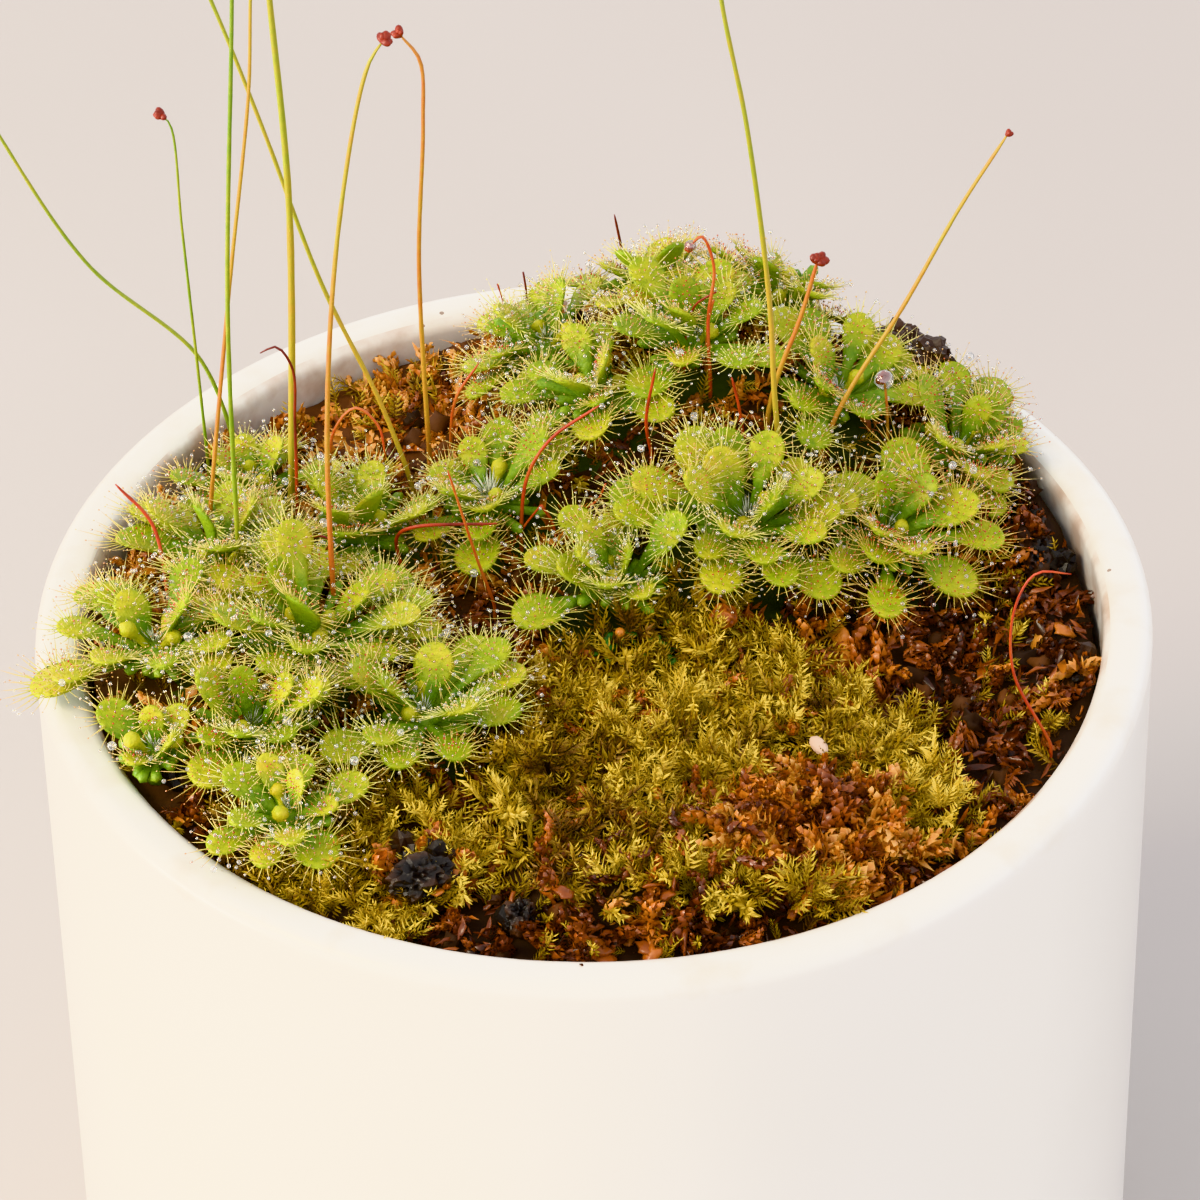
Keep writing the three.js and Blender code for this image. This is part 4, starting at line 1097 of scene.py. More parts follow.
def leaf_surface(heap, leaf, tone):
    radius = PAD_SHARE * leaf.blade
    half_length = BLADE_STRETCH * radius
    stem = np.linspace(-ROOT_SINK, leaf.length - 1.25 * half_length, 6)
    pad = leaf.length - half_length * np.cos(np.linspace(0.12, math.pi * 0.985, 13))
    along = np.concatenate([stem, pad])
    offset = (along - leaf.length) / half_length
    circle = radius * np.sqrt(np.clip(1 - offset**2, 0, 1))
    shoulder = STALK_WIDTH * (0.8 + 0.9 * np.exp(-((offset + 1) ** 2) / 0.3))
    stalk_width = shoulder * np.clip(0.4 - offset, 0, 1)
    half_width = (circle**3 + stalk_width**3) ** (1 / 3)
    in_pad = np.clip((offset + 1.3) / 0.6, 0, 1)
    half_height = (0.34 + (PAD_HALF - 0.34) * in_pad) * np.minimum(1, half_width / (0.35 * radius)) ** 0.5
    turn = 2 * np.pi * np.arange(SECTION) / SECTION
    across = half_width[:, None] * np.cos(turn)
    cup = (across / radius) ** 2 + 0.5 * np.clip(offset, 0, 1)[:, None] ** 2
    above = half_height[:, None] * np.sin(turn) + leaf_dish(leaf) * in_pad[:, None] * radius * cup
    points = leaf.at(np.repeat(along, SECTION), across.ravel(), above.ravel())
    part = np.repeat(np.clip(along / (leaf.length + radius), 0, 1), SECTION)
    side = np.tile(np.clip(np.sin(turn) * 2 + 0.5, 0, 1), len(along))
    heap.add(points, tube_faces(len(along), SECTION), 0, part, tone, side)


# %% [markdown]
# ## Tentacles
#
# They stand in rings. Those at the margin are longest and lie nearly flat, like lashes; towards the middle
# they shorten and stand up. Each is a three-sided taper that bends up a little, with a gland at its tip,
# and one gland in three holds a bead of dew.

# %% Tentacle rings
RINGS = [
    # place on the pad's radius, how many, length as a share of the blade, degrees above the pad
    (0.98, 28, 0.86, 4),
    (0.9, 18, 0.64, 28),
    (0.78, 17, 0.4, 44),
    (0.6, 12, 0.29, 58),
    (0.4, 9, 0.24, 70),
    (0.18, 4, 0.2, 82),
]
HAIR = (0.052, 0.04)
GLAND_SIZE = (0.085, 0.085, 0.11)
FULL_BLADE = 2.4


def tentacle_plan(leaf, seed):
    """Every tentacle of a leaf: pad angle, place on the radius, length and slant."""
    share = min(1.0, (leaf.blade / FULL_BLADE) ** 1.3)
    rows = []
    for ring, (radius, count, length, slant) in enumerate(RINGS):
        count = max(4, round(count * share))
        for i in range(count):
            chance = draw(seed + ring * 7.3, i)
            angle = 2 * math.pi * (i + 0.4 * chance + 0.5 * (ring % 2)) / count
            on_stalk = abs(math.remainder(angle - math.pi, 2 * math.pi)) < 0.3
            if radius > 0.8 and on_stalk:
                continue
            length_here = length * (0.75 + 0.5 * draw(seed, i + 50 * ring))
            rows.append((angle, radius, length_here, slant + 20 * (chance - 0.5)))
    return np.array(rows).T


def add_tentacles(heap, leaf, tone, seed):
    angle, radius, length, slant = tentacle_plan(leaf, seed)
    slant = np.radians(slant)
    pad = PAD_SHARE * leaf.blade
    along = leaf.length + BLADE_STRETCH * pad * radius * np.cos(angle)
    across = pad * radius * np.sin(angle)
    dished = leaf_dish(leaf) * pad * (radius * np.sin(angle)) ** 2
    above = PAD_HALF * 0.7 * np.sqrt(1 - 0.8 * radius**2) + dished
    reach = length * leaf.blade
    path = []
    for share in (-0.06, 0.5, 1.0):
        out = reach * np.cos(slant) * share
        lift = reach * (np.sin(slant) * share + 0.18 * share**2)
        path.append(leaf.at(along + out * np.cos(angle), across + out * np.sin(angle), above + lift))
    root, middle, tip = path
    axes = frames_along(tip - root, angle * 3)
    turn = 2 * np.pi * np.arange(3) / 3
    cosine, sine = np.cos(turn)[None, :, None], np.sin(turn)[None, :, None]
    ring = cosine * axes[:, None, 0] + sine * axes[:, None, 1]
    low, high = root[:, None] + HAIR[0] * ring, middle[:, None] + HAIR[1] * ring
    points = np.concatenate([low, high, tip[:, None]], 1)
    faces = np.concatenate([tube_faces(2, 3, closed=False), [(3, 4, 6), (4, 5, 6), (5, 3, 6)]])
    faces = faces[None] + (np.arange(len(angle)) * 7)[:, None, None]
    part = np.tile([0.0, 0.0, 0.0, 0.55, 0.55, 0.55, 1.0], len(angle))
    heap.add(points, faces, 1, part, tone)
    way = tip - middle
    chance = rng.random(len(angle))
    redness = np.clip(0.6 * tone + 0.5 * (1 - radius) + 0.05 + 0.4 * (chance - 0.5), 0, 1)
    gland = np.array(GLAND_SIZE) * (1.25 - 0.4 * radius[:, None]) * (0.85 + 0.3 * chance[:, None])
    press(heap, SEED, tip, way, gland, redness, 2)
    return tip, way


# %% [markdown]
# ## The heart of a rosette
#
# In the middle of each plant the newest leaves are still rolled up: smooth, bright little clubs. Round
# them the plant keeps papery silver hairs, which catch the light like frost.


# %% Young leaves and silver hairs
def add_club(heap, plant, index, tone):
    """A young leaf that has not opened: a short stalk with a smooth bright knob."""
    x, y, reach, _, turn = ROSETTES[plant]
    heading = math.radians(turn) + GOLDEN_ANGLE * (index + 20)
    lean = 0.35 + 0.35 * draw(plant, index + 80)
    height = 1.3 + 1.5 * draw(plant, index + 90)
    root = np.array([x, y, float(cover_top(x, y)) + CROWN_HEIGHT])
    away = np.array([math.cos(heading), math.sin(heading), 0])
    share = np.linspace(0, 1, 9)[:, None]
    path = root + away * (0.5 + 2.1 * lean * share * height / 2) + np.array([0, 0, 1]) * height * share
    path = path + away * 0.5 * share**3
    swell = np.exp(-(((share[:, 0] - 0.8) / 0.2) ** 2))
    radii = 0.3 + 0.42 * swell
    radii[-1] = 0.16
    sweep(heap, path, radii, 8, 1.0, tone)


def add_silver(heap, plant, count, spread):
    x, y = ROSETTES[plant][:2]
    middle = np.array([x, y, float(cover_top(x, y)) + CROWN_HEIGHT + 0.4])
    angle = rng.random(count) * 2 * np.pi
    lean = 0.25 + 0.9 * rng.random(count)
    ways = np.stack([np.cos(angle) * np.sin(lean), np.sin(angle) * np.sin(lean), np.cos(lean)], 1)
    places = middle + ways * (0.5 * rng.random((count, 1)))
    long = spread * (0.6 + 0.7 * rng.random(count))
    sizes = np.stack([np.full(count, 0.07), np.full(count, 0.03), long], 1)
    press(heap, SEED, places + ways * sizes[:, 2:] * 0.9, ways, sizes, 0.4 + 0.6 * rng.random(count), 3)


def add_crown(heap, plant):
    """The short stem under the leaves."""
    x, y = ROSETTES[plant][:2]
    top = float(cover_top(x, y))
    foot = float(ground_height(x, y)) - 1
    path = np.array([(x, y, z) for z in np.linspace(foot, top + CROWN_HEIGHT + 0.3, 6)])
    sweep(heap, path, (0.9, 1.0, 1.05, 1.2, 1.35, 0.7), 9, 0.1, 0.4)


# %% Leaf stalks without pads
OLD_STALKS = 16


def add_old_stalks(heap, plant):
    """Bare green leaf stalks low round the crown, which fill the gaps between the pads."""
    x, y, reach = ROSETTES[plant][:3]
    foot = float(cover_top(x, y)) + 0.8
    share = np.linspace(0, 1, 7)
    for index in range(OLD_STALKS):
        heading = GOLDEN_ANGLE * index + plant
        length = reach * (0.35 + 0.3 * draw(plant, index + 120))
        rise = 0.25 + 0.5 * draw(plant, index + 140)
        away = length * np.sin(share * 1.3) / 1.1
        lift = length * rise * share * (1 - 0.45 * share)
        path = np.stack([x + away * math.cos(heading), y + away * math.sin(heading), foot + lift], 1)
        radii = 0.32 + 0.22 * share
        radii[-1] = 0.14
        tone = 0.2 + 0.6 * draw(plant, index + 160)
        sweep(heap, path, radii, 5, 0.1 + 0.45 * share, tone)


# %% All the plants
SILVER_HAIRS = {0: (70, 0.95), 1: (60, 1.1)}
DEW_SHARE = 0.33
DEW_SIZE = 0.17
DROP_EVERY, DROP_SIZE = 90, 0.34
RIGHT_PLANTS, LEFT_PLANTS = range(11), range(11, len(ROSETTES))


def make_sundew(plant):
    heap, tips, ways = Heap(), [], []
    add_crown(heap, plant)
    add_old_stalks(heap, plant)
    for index, leaf in enumerate(LEAVES):
        if leaf.plant != plant:
            continue
        tone = 0.25 + 0.75 * draw(plant + 3, index)
        leaf_surface(heap, leaf, tone)
        redder = 0.4 * min(1, max(0, (leaf.root[0] - 14) / 14))
        tip, way = add_tentacles(heap, leaf, 0.8 * draw(plant + 5, index) + redder, index)
        tips.append(tip)
        ways.append(way)
    for index in range(2 + plant % 2):
        add_club(heap, plant, index, 0.95)
    add_silver(heap, plant, *SILVER_HAIRS.get(plant, (24, 0.6)))
    number = plant + 1
    piece = heap.build(f"sundew_{number}", [BLADE, TENTACLE, GLAND, SILVER])
    settle(piece, "leaf", f"rosette_{number}")
    return np.concatenate(tips), np.concatenate(ways)


def make_dew_beads(name, tips, ways):
    wet = rng.random(len(tips)) < DEW_SHARE
    tips, ways = tips[wet], ways[wet]
    ways = ways / np.linalg.norm(ways, axis=1, keepdims=True)
    size = DEW_SIZE * (0.7 + 0.55 * rng.random(len(tips)) ** 2)
    heap = Heap()
    press(heap, BEAD, tips + ways * 0.04, ways, size, 1.0)
    tips, ways = tips[::DROP_EVERY], ways[::DROP_EVERY]
    size = DROP_SIZE * (0.7 + 0.5 * rng.random(len(tips)))
    press(heap, BEAD_FINE, tips + ways * 0.1, ways, size, 1.0)
    return settle(heap.build(name, [DEW]), "leaf")


grown = [make_sundew(plant) for plant in range(len(ROSETTES))]
for group, name in ((RIGHT_PLANTS, "dew_right"), (LEFT_PLANTS, "dew_left")):
    make_dew_beads(name, *(np.concatenate([grown[plant][i] for plant in group]) for i in (0, 1)))
print("sundew triangles:", sum(n for name, n in triangles.items() if name.startswith(("sundew", "dew"))))

# %% [markdown]
# ## Moss
#
# This moss grows in feathery shoots a few millimetres long, each with some twenty pointed leaves all round
# its stem, so that a shoot looks like a tiny bottle brush. Six brushes are made and pressed down
# thousands of times, leaning every way but mostly along the ground, over a dark undercoat.

# %% Moss shoots
WHORLS = 7
LEAVES_PER_WHORL = 3


def brush_stamp(seed, bend):
    """A moss shoot one unit long: a thin curved stem and whorls of narrow folded leaves."""
    points, faces, part = [], [], []
    rows = np.linspace(0, 1, 2)
    stem = np.stack([bend * rows**2, 0 * rows, rows], 1)
    turn = 2 * np.pi * np.arange(3) / 3
    for centre, share in zip(stem, rows):
        radius = 0.028 * (1 - 0.6 * share)
        points += [centre + radius * np.array([math.cos(a), math.sin(a), 0]) for a in turn]
        part += [0.0] * 3
    faces += [tuple(face) for face in tube_faces(2, 3, closed=False)]
    for whorl in range(WHORLS):
        share = (whorl + 0.6) / WHORLS
        centre = np.array([bend * share**2, 0, share])
        size = 0.36 * math.sin(math.pi * min(0.86, 0.2 + 0.75 * share)) ** 0.6
        for leaf in range(LEAVES_PER_WHORL):
            angle = 2 * math.pi * (leaf / LEAVES_PER_WHORL + 0.37 * whorl) + draw(seed, whorl * 4 + leaf)
            out = np.array([math.cos(angle), math.sin(angle), 0.0])
            side = np.array([-math.sin(angle), math.cos(angle), 0.0])
            tip = centre + size * (0.8 * out + np.array([0, 0, 0.75]))
            waist = centre + size * (0.34 * out + np.array([0, 0, 0.2]))
            first = len(points)
            points += [centre, waist + 0.13 * size * side, tip, waist - 0.13 * size * side]
            part += [0.6 * share, 0.2 + 0.6 * share, 0.35 + 0.65 * share, 0.2 + 0.6 * share]
            faces += [(first, first + 1, first + 2), (first, first + 2, first + 3)]
    return np.array(points), np.array(faces), np.array(part)


BRUSHES = [brush_stamp(seed, bend) for seed, bend in enumerate((0.1, 0.35, -0.3, 0.55, 0.0, -0.5))]
print("a brush has", len(BRUSHES[0][1]), "triangles")


# %% [markdown]
# Places are drawn at random inside an outline. The shoots lean with a slow flow field, so that
# neighbours lie alike, as they do where they have grown over one another.


# %% Scattering
def scatter(count, cover=None):
    """Random points inside a cover's outline, or over the whole bed."""
    if cover is None:
        angle, radius = rng.random(count) * 2 * np.pi, BED_RADIUS * np.sqrt(rng.random(count))
        return radius * np.cos(angle), radius * np.sin(angle)
    angle = rng.random(count) * 2 * np.pi
    radius = cover_outline(cover, angle) * np.sqrt(rng.random(count))
    return cover["x"] + radius * np.cos(angle), cover["y"] + radius * np.sin(angle)


def strewn(x, y, spread, count, squash=1.0):
    """Random points that lie thickest round a place; squash narrows them from front to back."""
    return x + rng.normal(0, spread, count), y + rng.normal(0, squash * spread, count)


def leaning(x, y, low, high):
    """Directions that follow a slow flow over the ground and rise by low to high degrees."""
    flow = np.array([noise.noise(Vector((a * 0.09, b * 0.09, 3.0))) for a, b in zip(x, y)]) * 9
    flow = flow + rng.normal(0, 0.9, len(x))
    rise = np.radians(low + (high - low) * rng.random(len(x)))
    return np.stack([np.cos(flow) * np.cos(rise), np.sin(flow) * np.cos(rise), np.sin(rise)], 1)


def lumps(x, y, size, seed):
    """Slow noise between 0 and 1 for drifts of colour and cover."""
    return np.array([0.5 + noise.noise(Vector((a / size, b / size, seed))) for a, b in zip(x, y)])


def press_mixed(heap, stamps, x, y, height, ways, sizes, tones, roll=None, slot=0):
    """Sets several stamps down by turns, so that neighbours differ."""
    places = np.stack([x, y, height], 1)
    for index, stamp in enumerate(stamps):
        few = slice(index, None, len(stamps))
        rolls = roll(len(x[few])) if roll else None
        press(heap, stamp, places[few], ways[few], sizes[few], tones[few], slot, rolls)


def any_roll(count):
    return rng.random(count) * 2 * np.pi


def press_shoots(heap, x, y, height, ways, length, tones):
    lengths = length * (0.6 + 0.8 * rng.random(len(x)))
    press_mixed(heap, BRUSHES, x, y, height, ways, lengths, tones, any_roll)


SHOOTS_PER_TUFT = 8
TUFT_RISE, TUFT_SPREAD = 1.5, 0.45


def press_tufts(heap, x, y, ground, length, pale):
    """Bushy tufts, each a handful of shoots from one spot; the taller a tuft, the paler, as painted shade
    darkens the low ones.
    """
    tall = rng.random(len(x)) ** 1.3
    tuft = np.repeat(np.arange(len(x)), SHOOTS_PER_TUFT)
    count = len(tuft)
    near_x, near_y = strewn(x[tuft], y[tuft], TUFT_SPREAD, count)
    drift = lumps(x, y, 5.0, 1.0)
    # Painted shade: low tufts are darker and tall ones paler, as if the shade among the tufts fell on the
    # low ones.
    tones = 0.15 + pale + 0.5 * tall + 0.9 * (drift - 0.5)
    tones -= 0.3 * (rng.random(len(x)) < 0.2)
    tones = np.clip(tones[tuft] + rng.normal(0.12, 0.12, count), 0, 1)
    relief = 2.2 * (lumps(x, y, 3.4, 6.0) - 0.5)
    height = (ground + relief + TUFT_RISE * tall)[tuft]
    fan = np.stack([near_x - x[tuft], near_y - y[tuft], 0.2 + 0.6 * rng.random(count)], 1)
    press_shoots(heap, near_x, near_y, height, fan, length, tones)


# %% Undercoats
COAT_RINGS, COAT_SEGMENTS = 16, 44


def add_undercoat(heap, cover, tone):
    """The closed lump under a cover's shoots: a lumpy top, domed only on a high cover, over the plain
    solid's own outline.
    """
    angle = 2 * np.pi * np.arange(COAT_SEGMENTS) / COAT_SEGMENTS
    outline = cover_outline(cover, angle)
    rows = []
    for ring in range(1, COAT_RINGS + 1):
        share = ring / COAT_RINGS
        x, y = cover["x"] + outline * share * np.cos(angle), cover["y"] + outline * share * np.sin(angle)
        dome = 1 - share**2 if cover["lift"] > 2 else 1
        lump = lumps(x, y, 1.6, 5.0) * 0.9 * min(1.0, 4 * (1 - share) + 0.2)
        rows.append(np.stack([x, y, ground_height(x, y) + cover["lift"] * dome - 1.2 + lump], -1))
    bottom = rows[-1].copy()
    bottom[:, 2] = ground_height(bottom[:, 0], bottom[:, 1]) - 2.2
    points = np.concatenate([bottom, *rows[::-1]])
    heap.add(points, tube_faces(COAT_RINGS + 1, COAT_SEGMENTS), 1, 0.2, tone)


# %% The moss pieces
def make_moss(node, tufts, length):
    cover = COVERS[node]
    heap = Heap()
    add_undercoat(heap, cover, 0.3)
    x, y = scatter(tufts, cover)
    if node == "moss_cushion":
        keep = ~within(COVERS["sphagnum_clump"], x, y, -0.6)
        x, y = x[keep], y[keep]
    pale = 0.3 * (x - cover["x"]) / cover["radius"]
    press_tufts(heap, x, y, ground_height(x, y) + cover["lift"] - 0.9, length, pale)
    return settle(heap.build(node.replace("moss", "feather_moss"), [MOSS, PEAT]), "moss", node)


make_moss("moss_cushion", tufts=330, length=2.4)
make_moss("moss_patch", tufts=95, length=2.2)
print("moss:", {name: n for name, n in triangles.items() if "moss" in name})

# %% [markdown]
# ## Dead bog moss
#
# The old bog moss has died to wet flakes the colour of tea and honey: little boat-shaped leaves, curled
# and overlapping like shingles. A flake is one folded sheet of eight triangles, because there are
# thousands. Where the leaves still hold together they make short curled branches. Both lie thick on the
# clump, and drift over the peat wherever nothing grows.


# %% Flakes
def flake_stamp(seed, curl, twist):
    """A folded flake one unit long: two stations of three points between its tips."""
    points, part = [np.zeros(3)], [0.0]
    for share, half in ((0.3, 0.17), (0.7, 0.14)):
        middle = np.array([0.0, -curl * share**2, share])
        tilt = twist * share + 0.5 * draw(seed, share)
        wide = np.array([math.cos(tilt), math.sin(tilt), 0.0])
        deep = np.array([-math.sin(tilt), math.cos(tilt), 0.0])
        points += [middle + half * wide + 0.12 * deep, middle, middle - half * wide + 0.12 * deep]
        part += [0.6, 0.3, 0.6]
    points.append(np.array([0.0, -curl, 1.0]))
    part.append(1.0)
    faces = [(0, 1, 2), (0, 2, 3), (1, 4, 5), (1, 5, 2), (2, 5, 6), (2, 6, 3), (4, 7, 5), (5, 7, 6)]
    crumple = [[draw(seed + 1, 3 * i + axis) - 0.5 for axis in range(3)] for i in range(len(points))]
    return np.array(points) + 0.13 * np.array(crumple), np.array(faces), np.array(part)


BRANCH_ROWS, BRANCH_SIDES = 8, 3


def branch_stamp(seed, bend):
    """A branch one unit long: boat-shaped leaves laid over one another along a curled stem."""
    points, faces, part = [], [], []
    for row in range(BRANCH_ROWS):
        share = row / BRANCH_ROWS
        angle = bend * share
        sine, cosine = math.sin(angle), math.cos(angle)
        stem = np.array([(1 - cosine) / bend, 0.1 * math.sin(4 * share + seed), sine / bend])
        ahead = np.array([sine, 0.0, cosine])
        plump = 0.13 * math.sin(math.pi * (0.2 + 0.68 * share)) ** 0.7
        for leaf in range(BRANCH_SIDES):
            chance = draw(seed + 20, row * BRANCH_SIDES + leaf)
            around = 2 * math.pi * (leaf / BRANCH_SIDES + 0.21 * row) + 1.2 * chance
            out = np.array([cosine * math.cos(around), math.sin(around), -sine * math.cos(around)])
            wide = np.cross(ahead, out)
            waist = stem + 0.14 * ahead + plump * out
            loose = plump * (0.4 + 0.8 * draw(seed + 30, row * BRANCH_SIDES + leaf))
            first = len(points)
            points += [stem, waist + 0.75 * plump * wide, waist + 0.35 * plump * out]
            points += [waist - 0.75 * plump * wide, stem + 0.38 * (1 - 0.45 * share) * ahead + loose * out]
            part += [0.0, 0.45, 0.3, 0.45, 1.0]
            corners = ((0, 1, 2), (0, 2, 3), (1, 4, 2), (2, 4, 3))
            faces += [tuple(first + corner for corner in face) for face in corners]
    return np.array(points), np.array(faces), np.array(part)


BENDS = (0.8, 1.7, -1.3, 2.6, -2.2, 0.4, -3.0, 1.2)
CURLS = ((0.15, 0.3), (0.55, -0.8), (0.95, 1.2), (-0.35, 0.4), (0.4, 2.0), (0.7, -1.7), (-0.6, 1.1))
BRANCHES = [branch_stamp(seed, bend) for seed, bend in enumerate(BENDS)]
FLAKES = [flake_stamp(seed, curl, twist) for seed, (curl, twist) in enumerate(CURLS)]
FLAKE_LENGTH = 1.3


def slight_roll(count):
    return rng.normal(0, 0.8, count)


def press_flakes(heap, x, y, height, low, high, tones):
    ways = leaning(x, y, low, high)
    long = FLAKE_LENGTH * (0.55 + 0.9 * rng.random(len(x)))
    broad = long * (0.6 + 1.1 * rng.random(len(x)) ** 2)
    press_mixed(heap, FLAKES, x, y, height, ways, np.stack([broad, broad, long], 1), tones, slight_roll)


def press_branches(heap, x, y, height, low, high, length, tones):
    ways = leaning(x, y, low, high)
    long = length * (0.65 + 0.7 * rng.random(len(x)))
    broad = long * (0.8 + 0.6 * rng.random(len(x)))
    press_mixed(heap, BRANCHES, x, y, height, ways, np.stack([broad, broad, long], 1), tones, any_roll)


def lay_bog_moss(heap, x, y, height, steep, tones, branches, shoots):
    """Flakes at every place, and a branch or a living shoot at every few."""
    press_flakes(heap, x, y, height, -10, steep, tones)
    every, length = branches
    few = slice(None, None, every)
    press_branches(heap, x[few], y[few], height[few] + 0.1, -25, 32, length, tones[few])
    every, length = shoots
    few = slice(None, None, every)
    ways = leaning(x[few], y[few], 0, steep - 10)
    press_shoots(heap, x[few], y[few], height[few], ways, length, tones[few])


def carve(point, rough, seed):
    """A unit point moved in or out: slow lumps, and cracks where a finer noise crosses zero."""
    place = Vector(point * 1.6) + Vector((seed, seed, seed))
    crack = max(0.0, 1 - 6 * abs(noise.noise(place * 1.7)))
    return point * (1 + rough * (0.7 * noise.noise(place) - 0.45 * crack + 0.3 * noise.noise(place * 4)))


def lump_stamp(bead, rough, seed):
    points, faces, part = bead
    return np.array([carve(point, rough, seed) for point in points]), faces, part


CRUMBS = [lump_stamp(BEAD_FINE, 0.9, seed) for seed in (1.3, 4.7, 9.1, 12.6)]
CHUNKS = [lump_stamp(rounder(BEAD_FINE), 0.75, seed) for seed in (2.1, 5.9, 8.3)]


def press_crumbs(heap, x, y, height, size, slot=0):
    """Crumbs of bark and peat, each one of four carved lumps, squashed and turned its own way."""
    ways = leaning(x, y, 0, 90)
    sizes = size * (0.5 + 1.0 * rng.random((len(x), 1)) ** 2) * (0.6 + 0.6 * rng.random((len(x), 3)))
    press_mixed(heap, CRUMBS, x, y, height, ways, sizes, rng.random(len(x)), slot=slot)


# %% The clump
CLUMP_FLAKES = 2100


def make_clump():
    cover = COVERS["sphagnum_clump"]
    heap = Heap()
    add_undercoat(heap, cover, 0.1)
    x, y = scatter(CLUMP_FLAKES, cover)
    share = np.hypot(x - cover["x"], y - cover["y"]) / cover["radius"]
    lump = 1.2 * lumps(x, y, 1.6, 9.0) + 1.2 * lumps(x, y, 3.4, 4.0) - 0.35
    dome = cover["lift"] * np.clip(1 - share**2, 0, 1)
    height = ground_height(x, y) + dome - 1.4 + lump + 0.5 * rng.random(len(x))
    tones = 0.43 + 0.4 * (lump - 0.8) + 0.9 * (lumps(x, y, 3.2, 2.0) - 0.5)
    tones = np.clip(tones + rng.normal(0.05, 0.15, len(x)), 0, 1)
    lay_bog_moss(heap, x, y, height, 70, tones, branches=(4, 2.8), shoots=(26, 2.2))
    return settle(heap.build("dead_bog_moss", [DEAD_MOSS, PEAT]), "sphagnum", "sphagnum_clump")


print("clump:", len(make_clump().data.polygons), "triangles")


# %% [markdown]
# Between the covers the litter is laid over the bare peat, in lumps, and never deeper than the peat's own
# crumbs. Hardly any is laid under the rosettes, where it couldn't be seen, except along the back wall.

# %% Litter over the peat
LITTER_FLAKES, LITTER_PER_CRUMB, STRAY_SHOOTS = 7700, 24, 1450
BACK_WALL_WIDTH = 8


def bare(x, y, margin):
    """Where neither moss nor clump covers the peat."""
    covered = np.zeros(len(x), bool)
    for cover in COVERS.values():
        covered |= within(cover, x, y, margin)
    return ~covered & (np.hypot(x, y) < BED_RADIUS - 0.5)


def in_the_open(x, y):
    """Thins out what would lie hidden under the rosettes, but not along the back wall."""
    chance = np.where(y > 12, 0.16, 0.05)
    chance[(np.hypot(x, y) > BED_RADIUS - BACK_WALL_WIDTH) & (y > 5)] = 0.8
    return ~under_leaves(x, y, 0.5) | (rng.random(len(x)) < chance)


def make_litter():
    heap = Heap()
    x, y = scatter(LITTER_FLAKES)
    keep = bare(x, y, -1.5) & in_the_open(x, y)
    x, y = x[keep], y[keep]
    lump = lumps(x, y, 1.7, 9.0) + 1.5 * lumps(x, y, 4.2, 11.0)
    height = lump - 2.3 + bank(x, y) + 0.6 * rng.random(len(x))
    peat = np.array([crumbs(px, py) for px, py in zip(x, y)])
    height = ground_height(x, y) + np.maximum(height, peat - 0.25)
    tones = paleness(x, y) + 0.4 * (lump - 1.25) + 0.7 * (lumps(x, y, 6.0, 8.0) - 0.5)
    tones = np.clip(tones + rng.normal(0, 0.17, len(x)), 0, 1)
    lay_bog_moss(heap, x, y, height, 60, tones, branches=(5, 2.6), shoots=(30, 2.0))
    few = slice(None, None, LITTER_PER_CRUMB)
    press_crumbs(heap, x[few], y[few], height[few], 0.95, 1)
    return settle(heap.build("litter", [DEAD_MOSS, PEAT]), "medium")


def make_stray_moss():
    heap = Heap()
    x, y = scatter(STRAY_SHOOTS)
    shaded = under_leaves(x, y, 0.75) & (rng.random(len(x)) < 0.5)
    keep = bare(x, y, -1.0) & ((lumps(x, y, 7.0, 4.0) > 0.52) | shaded)
    x, y = x[keep], y[keep]
    tones = np.clip(0.45 + rng.normal(0, 0.2, len(x)), 0, 1)
    press_shoots(heap, x, y, ground_height(x, y) - 0.8, leaning(x, y, 10, 75), 2.2, tones)
    return settle(heap.build("stray_moss", [MOSS]), "moss")


# %% [markdown]
# Branches of dead bog moss lie in drifts: bleached orange ones round the charred bark and under the big
# rosettes, brown ones along the front wall, a few caught in the moss. Scraps of dead leaf are crumbs that
# have been squashed flat. Burnt bark has crumbled into black bits, and its largest lie on one another.

# %% Dead leaves
DRIFTS = [
    # x, y, spread, how many, length, tone
    (-12.6, -30, 2.0, 26, 3.0, 0.62),
    (-6, -34, 1.6, 12, 2.6, 0.45),
    (0, -36, 3.2, 40, 2.2, 0.26),
    (7.5, -35, 3.0, 34, 2.4, 0.3),
    (19.8, -2.2, 1.6, 20, 3.4, 0.66),
    (26, -5, 3.0, 26, 2.6, 0.5),
    (38.5, -3, 2.2, 26, 2.6, 0.42),
    (-31, -15, 2.2, 20, 2.6, 0.66),
    (-14, 33.5, 4.5, 60, 2.6, 0.78),
    (-5, -8, 2.6, 26, 2.2, 0.55),
    (1, -13, 2.4, 22, 2.2, 0.6),
    (14, -9, 2.4, 16, 2.2, 0.6),
    (2, -26, 3.6, 34, 2.2, 0.5),
]
SEEDS = [(2.1, -3.4), (-9.6, -4.6)]
SCRAPS = [
    (-13, -31, 1.5, 9, 2.4, 0.72),
    (-6, -34.5, 1.0, 4, 2.2, 0.6),
    (19.5, -2, 1.0, 5, 3.4, 0.68),
    (39, -3, 1.4, 6, 2.4, 0.6),
    (-31, -15.5, 1.5, 6, 2.4, 0.74),
    (2, -36.2, 3.0, 14, 2.3, 0.4),
]


def in_bed(x, y, margin):
    """Leaves out the points that fall in the wall."""
    keep = np.hypot(x, y) < BED_RADIUS - margin
    return x[keep], y[keep]


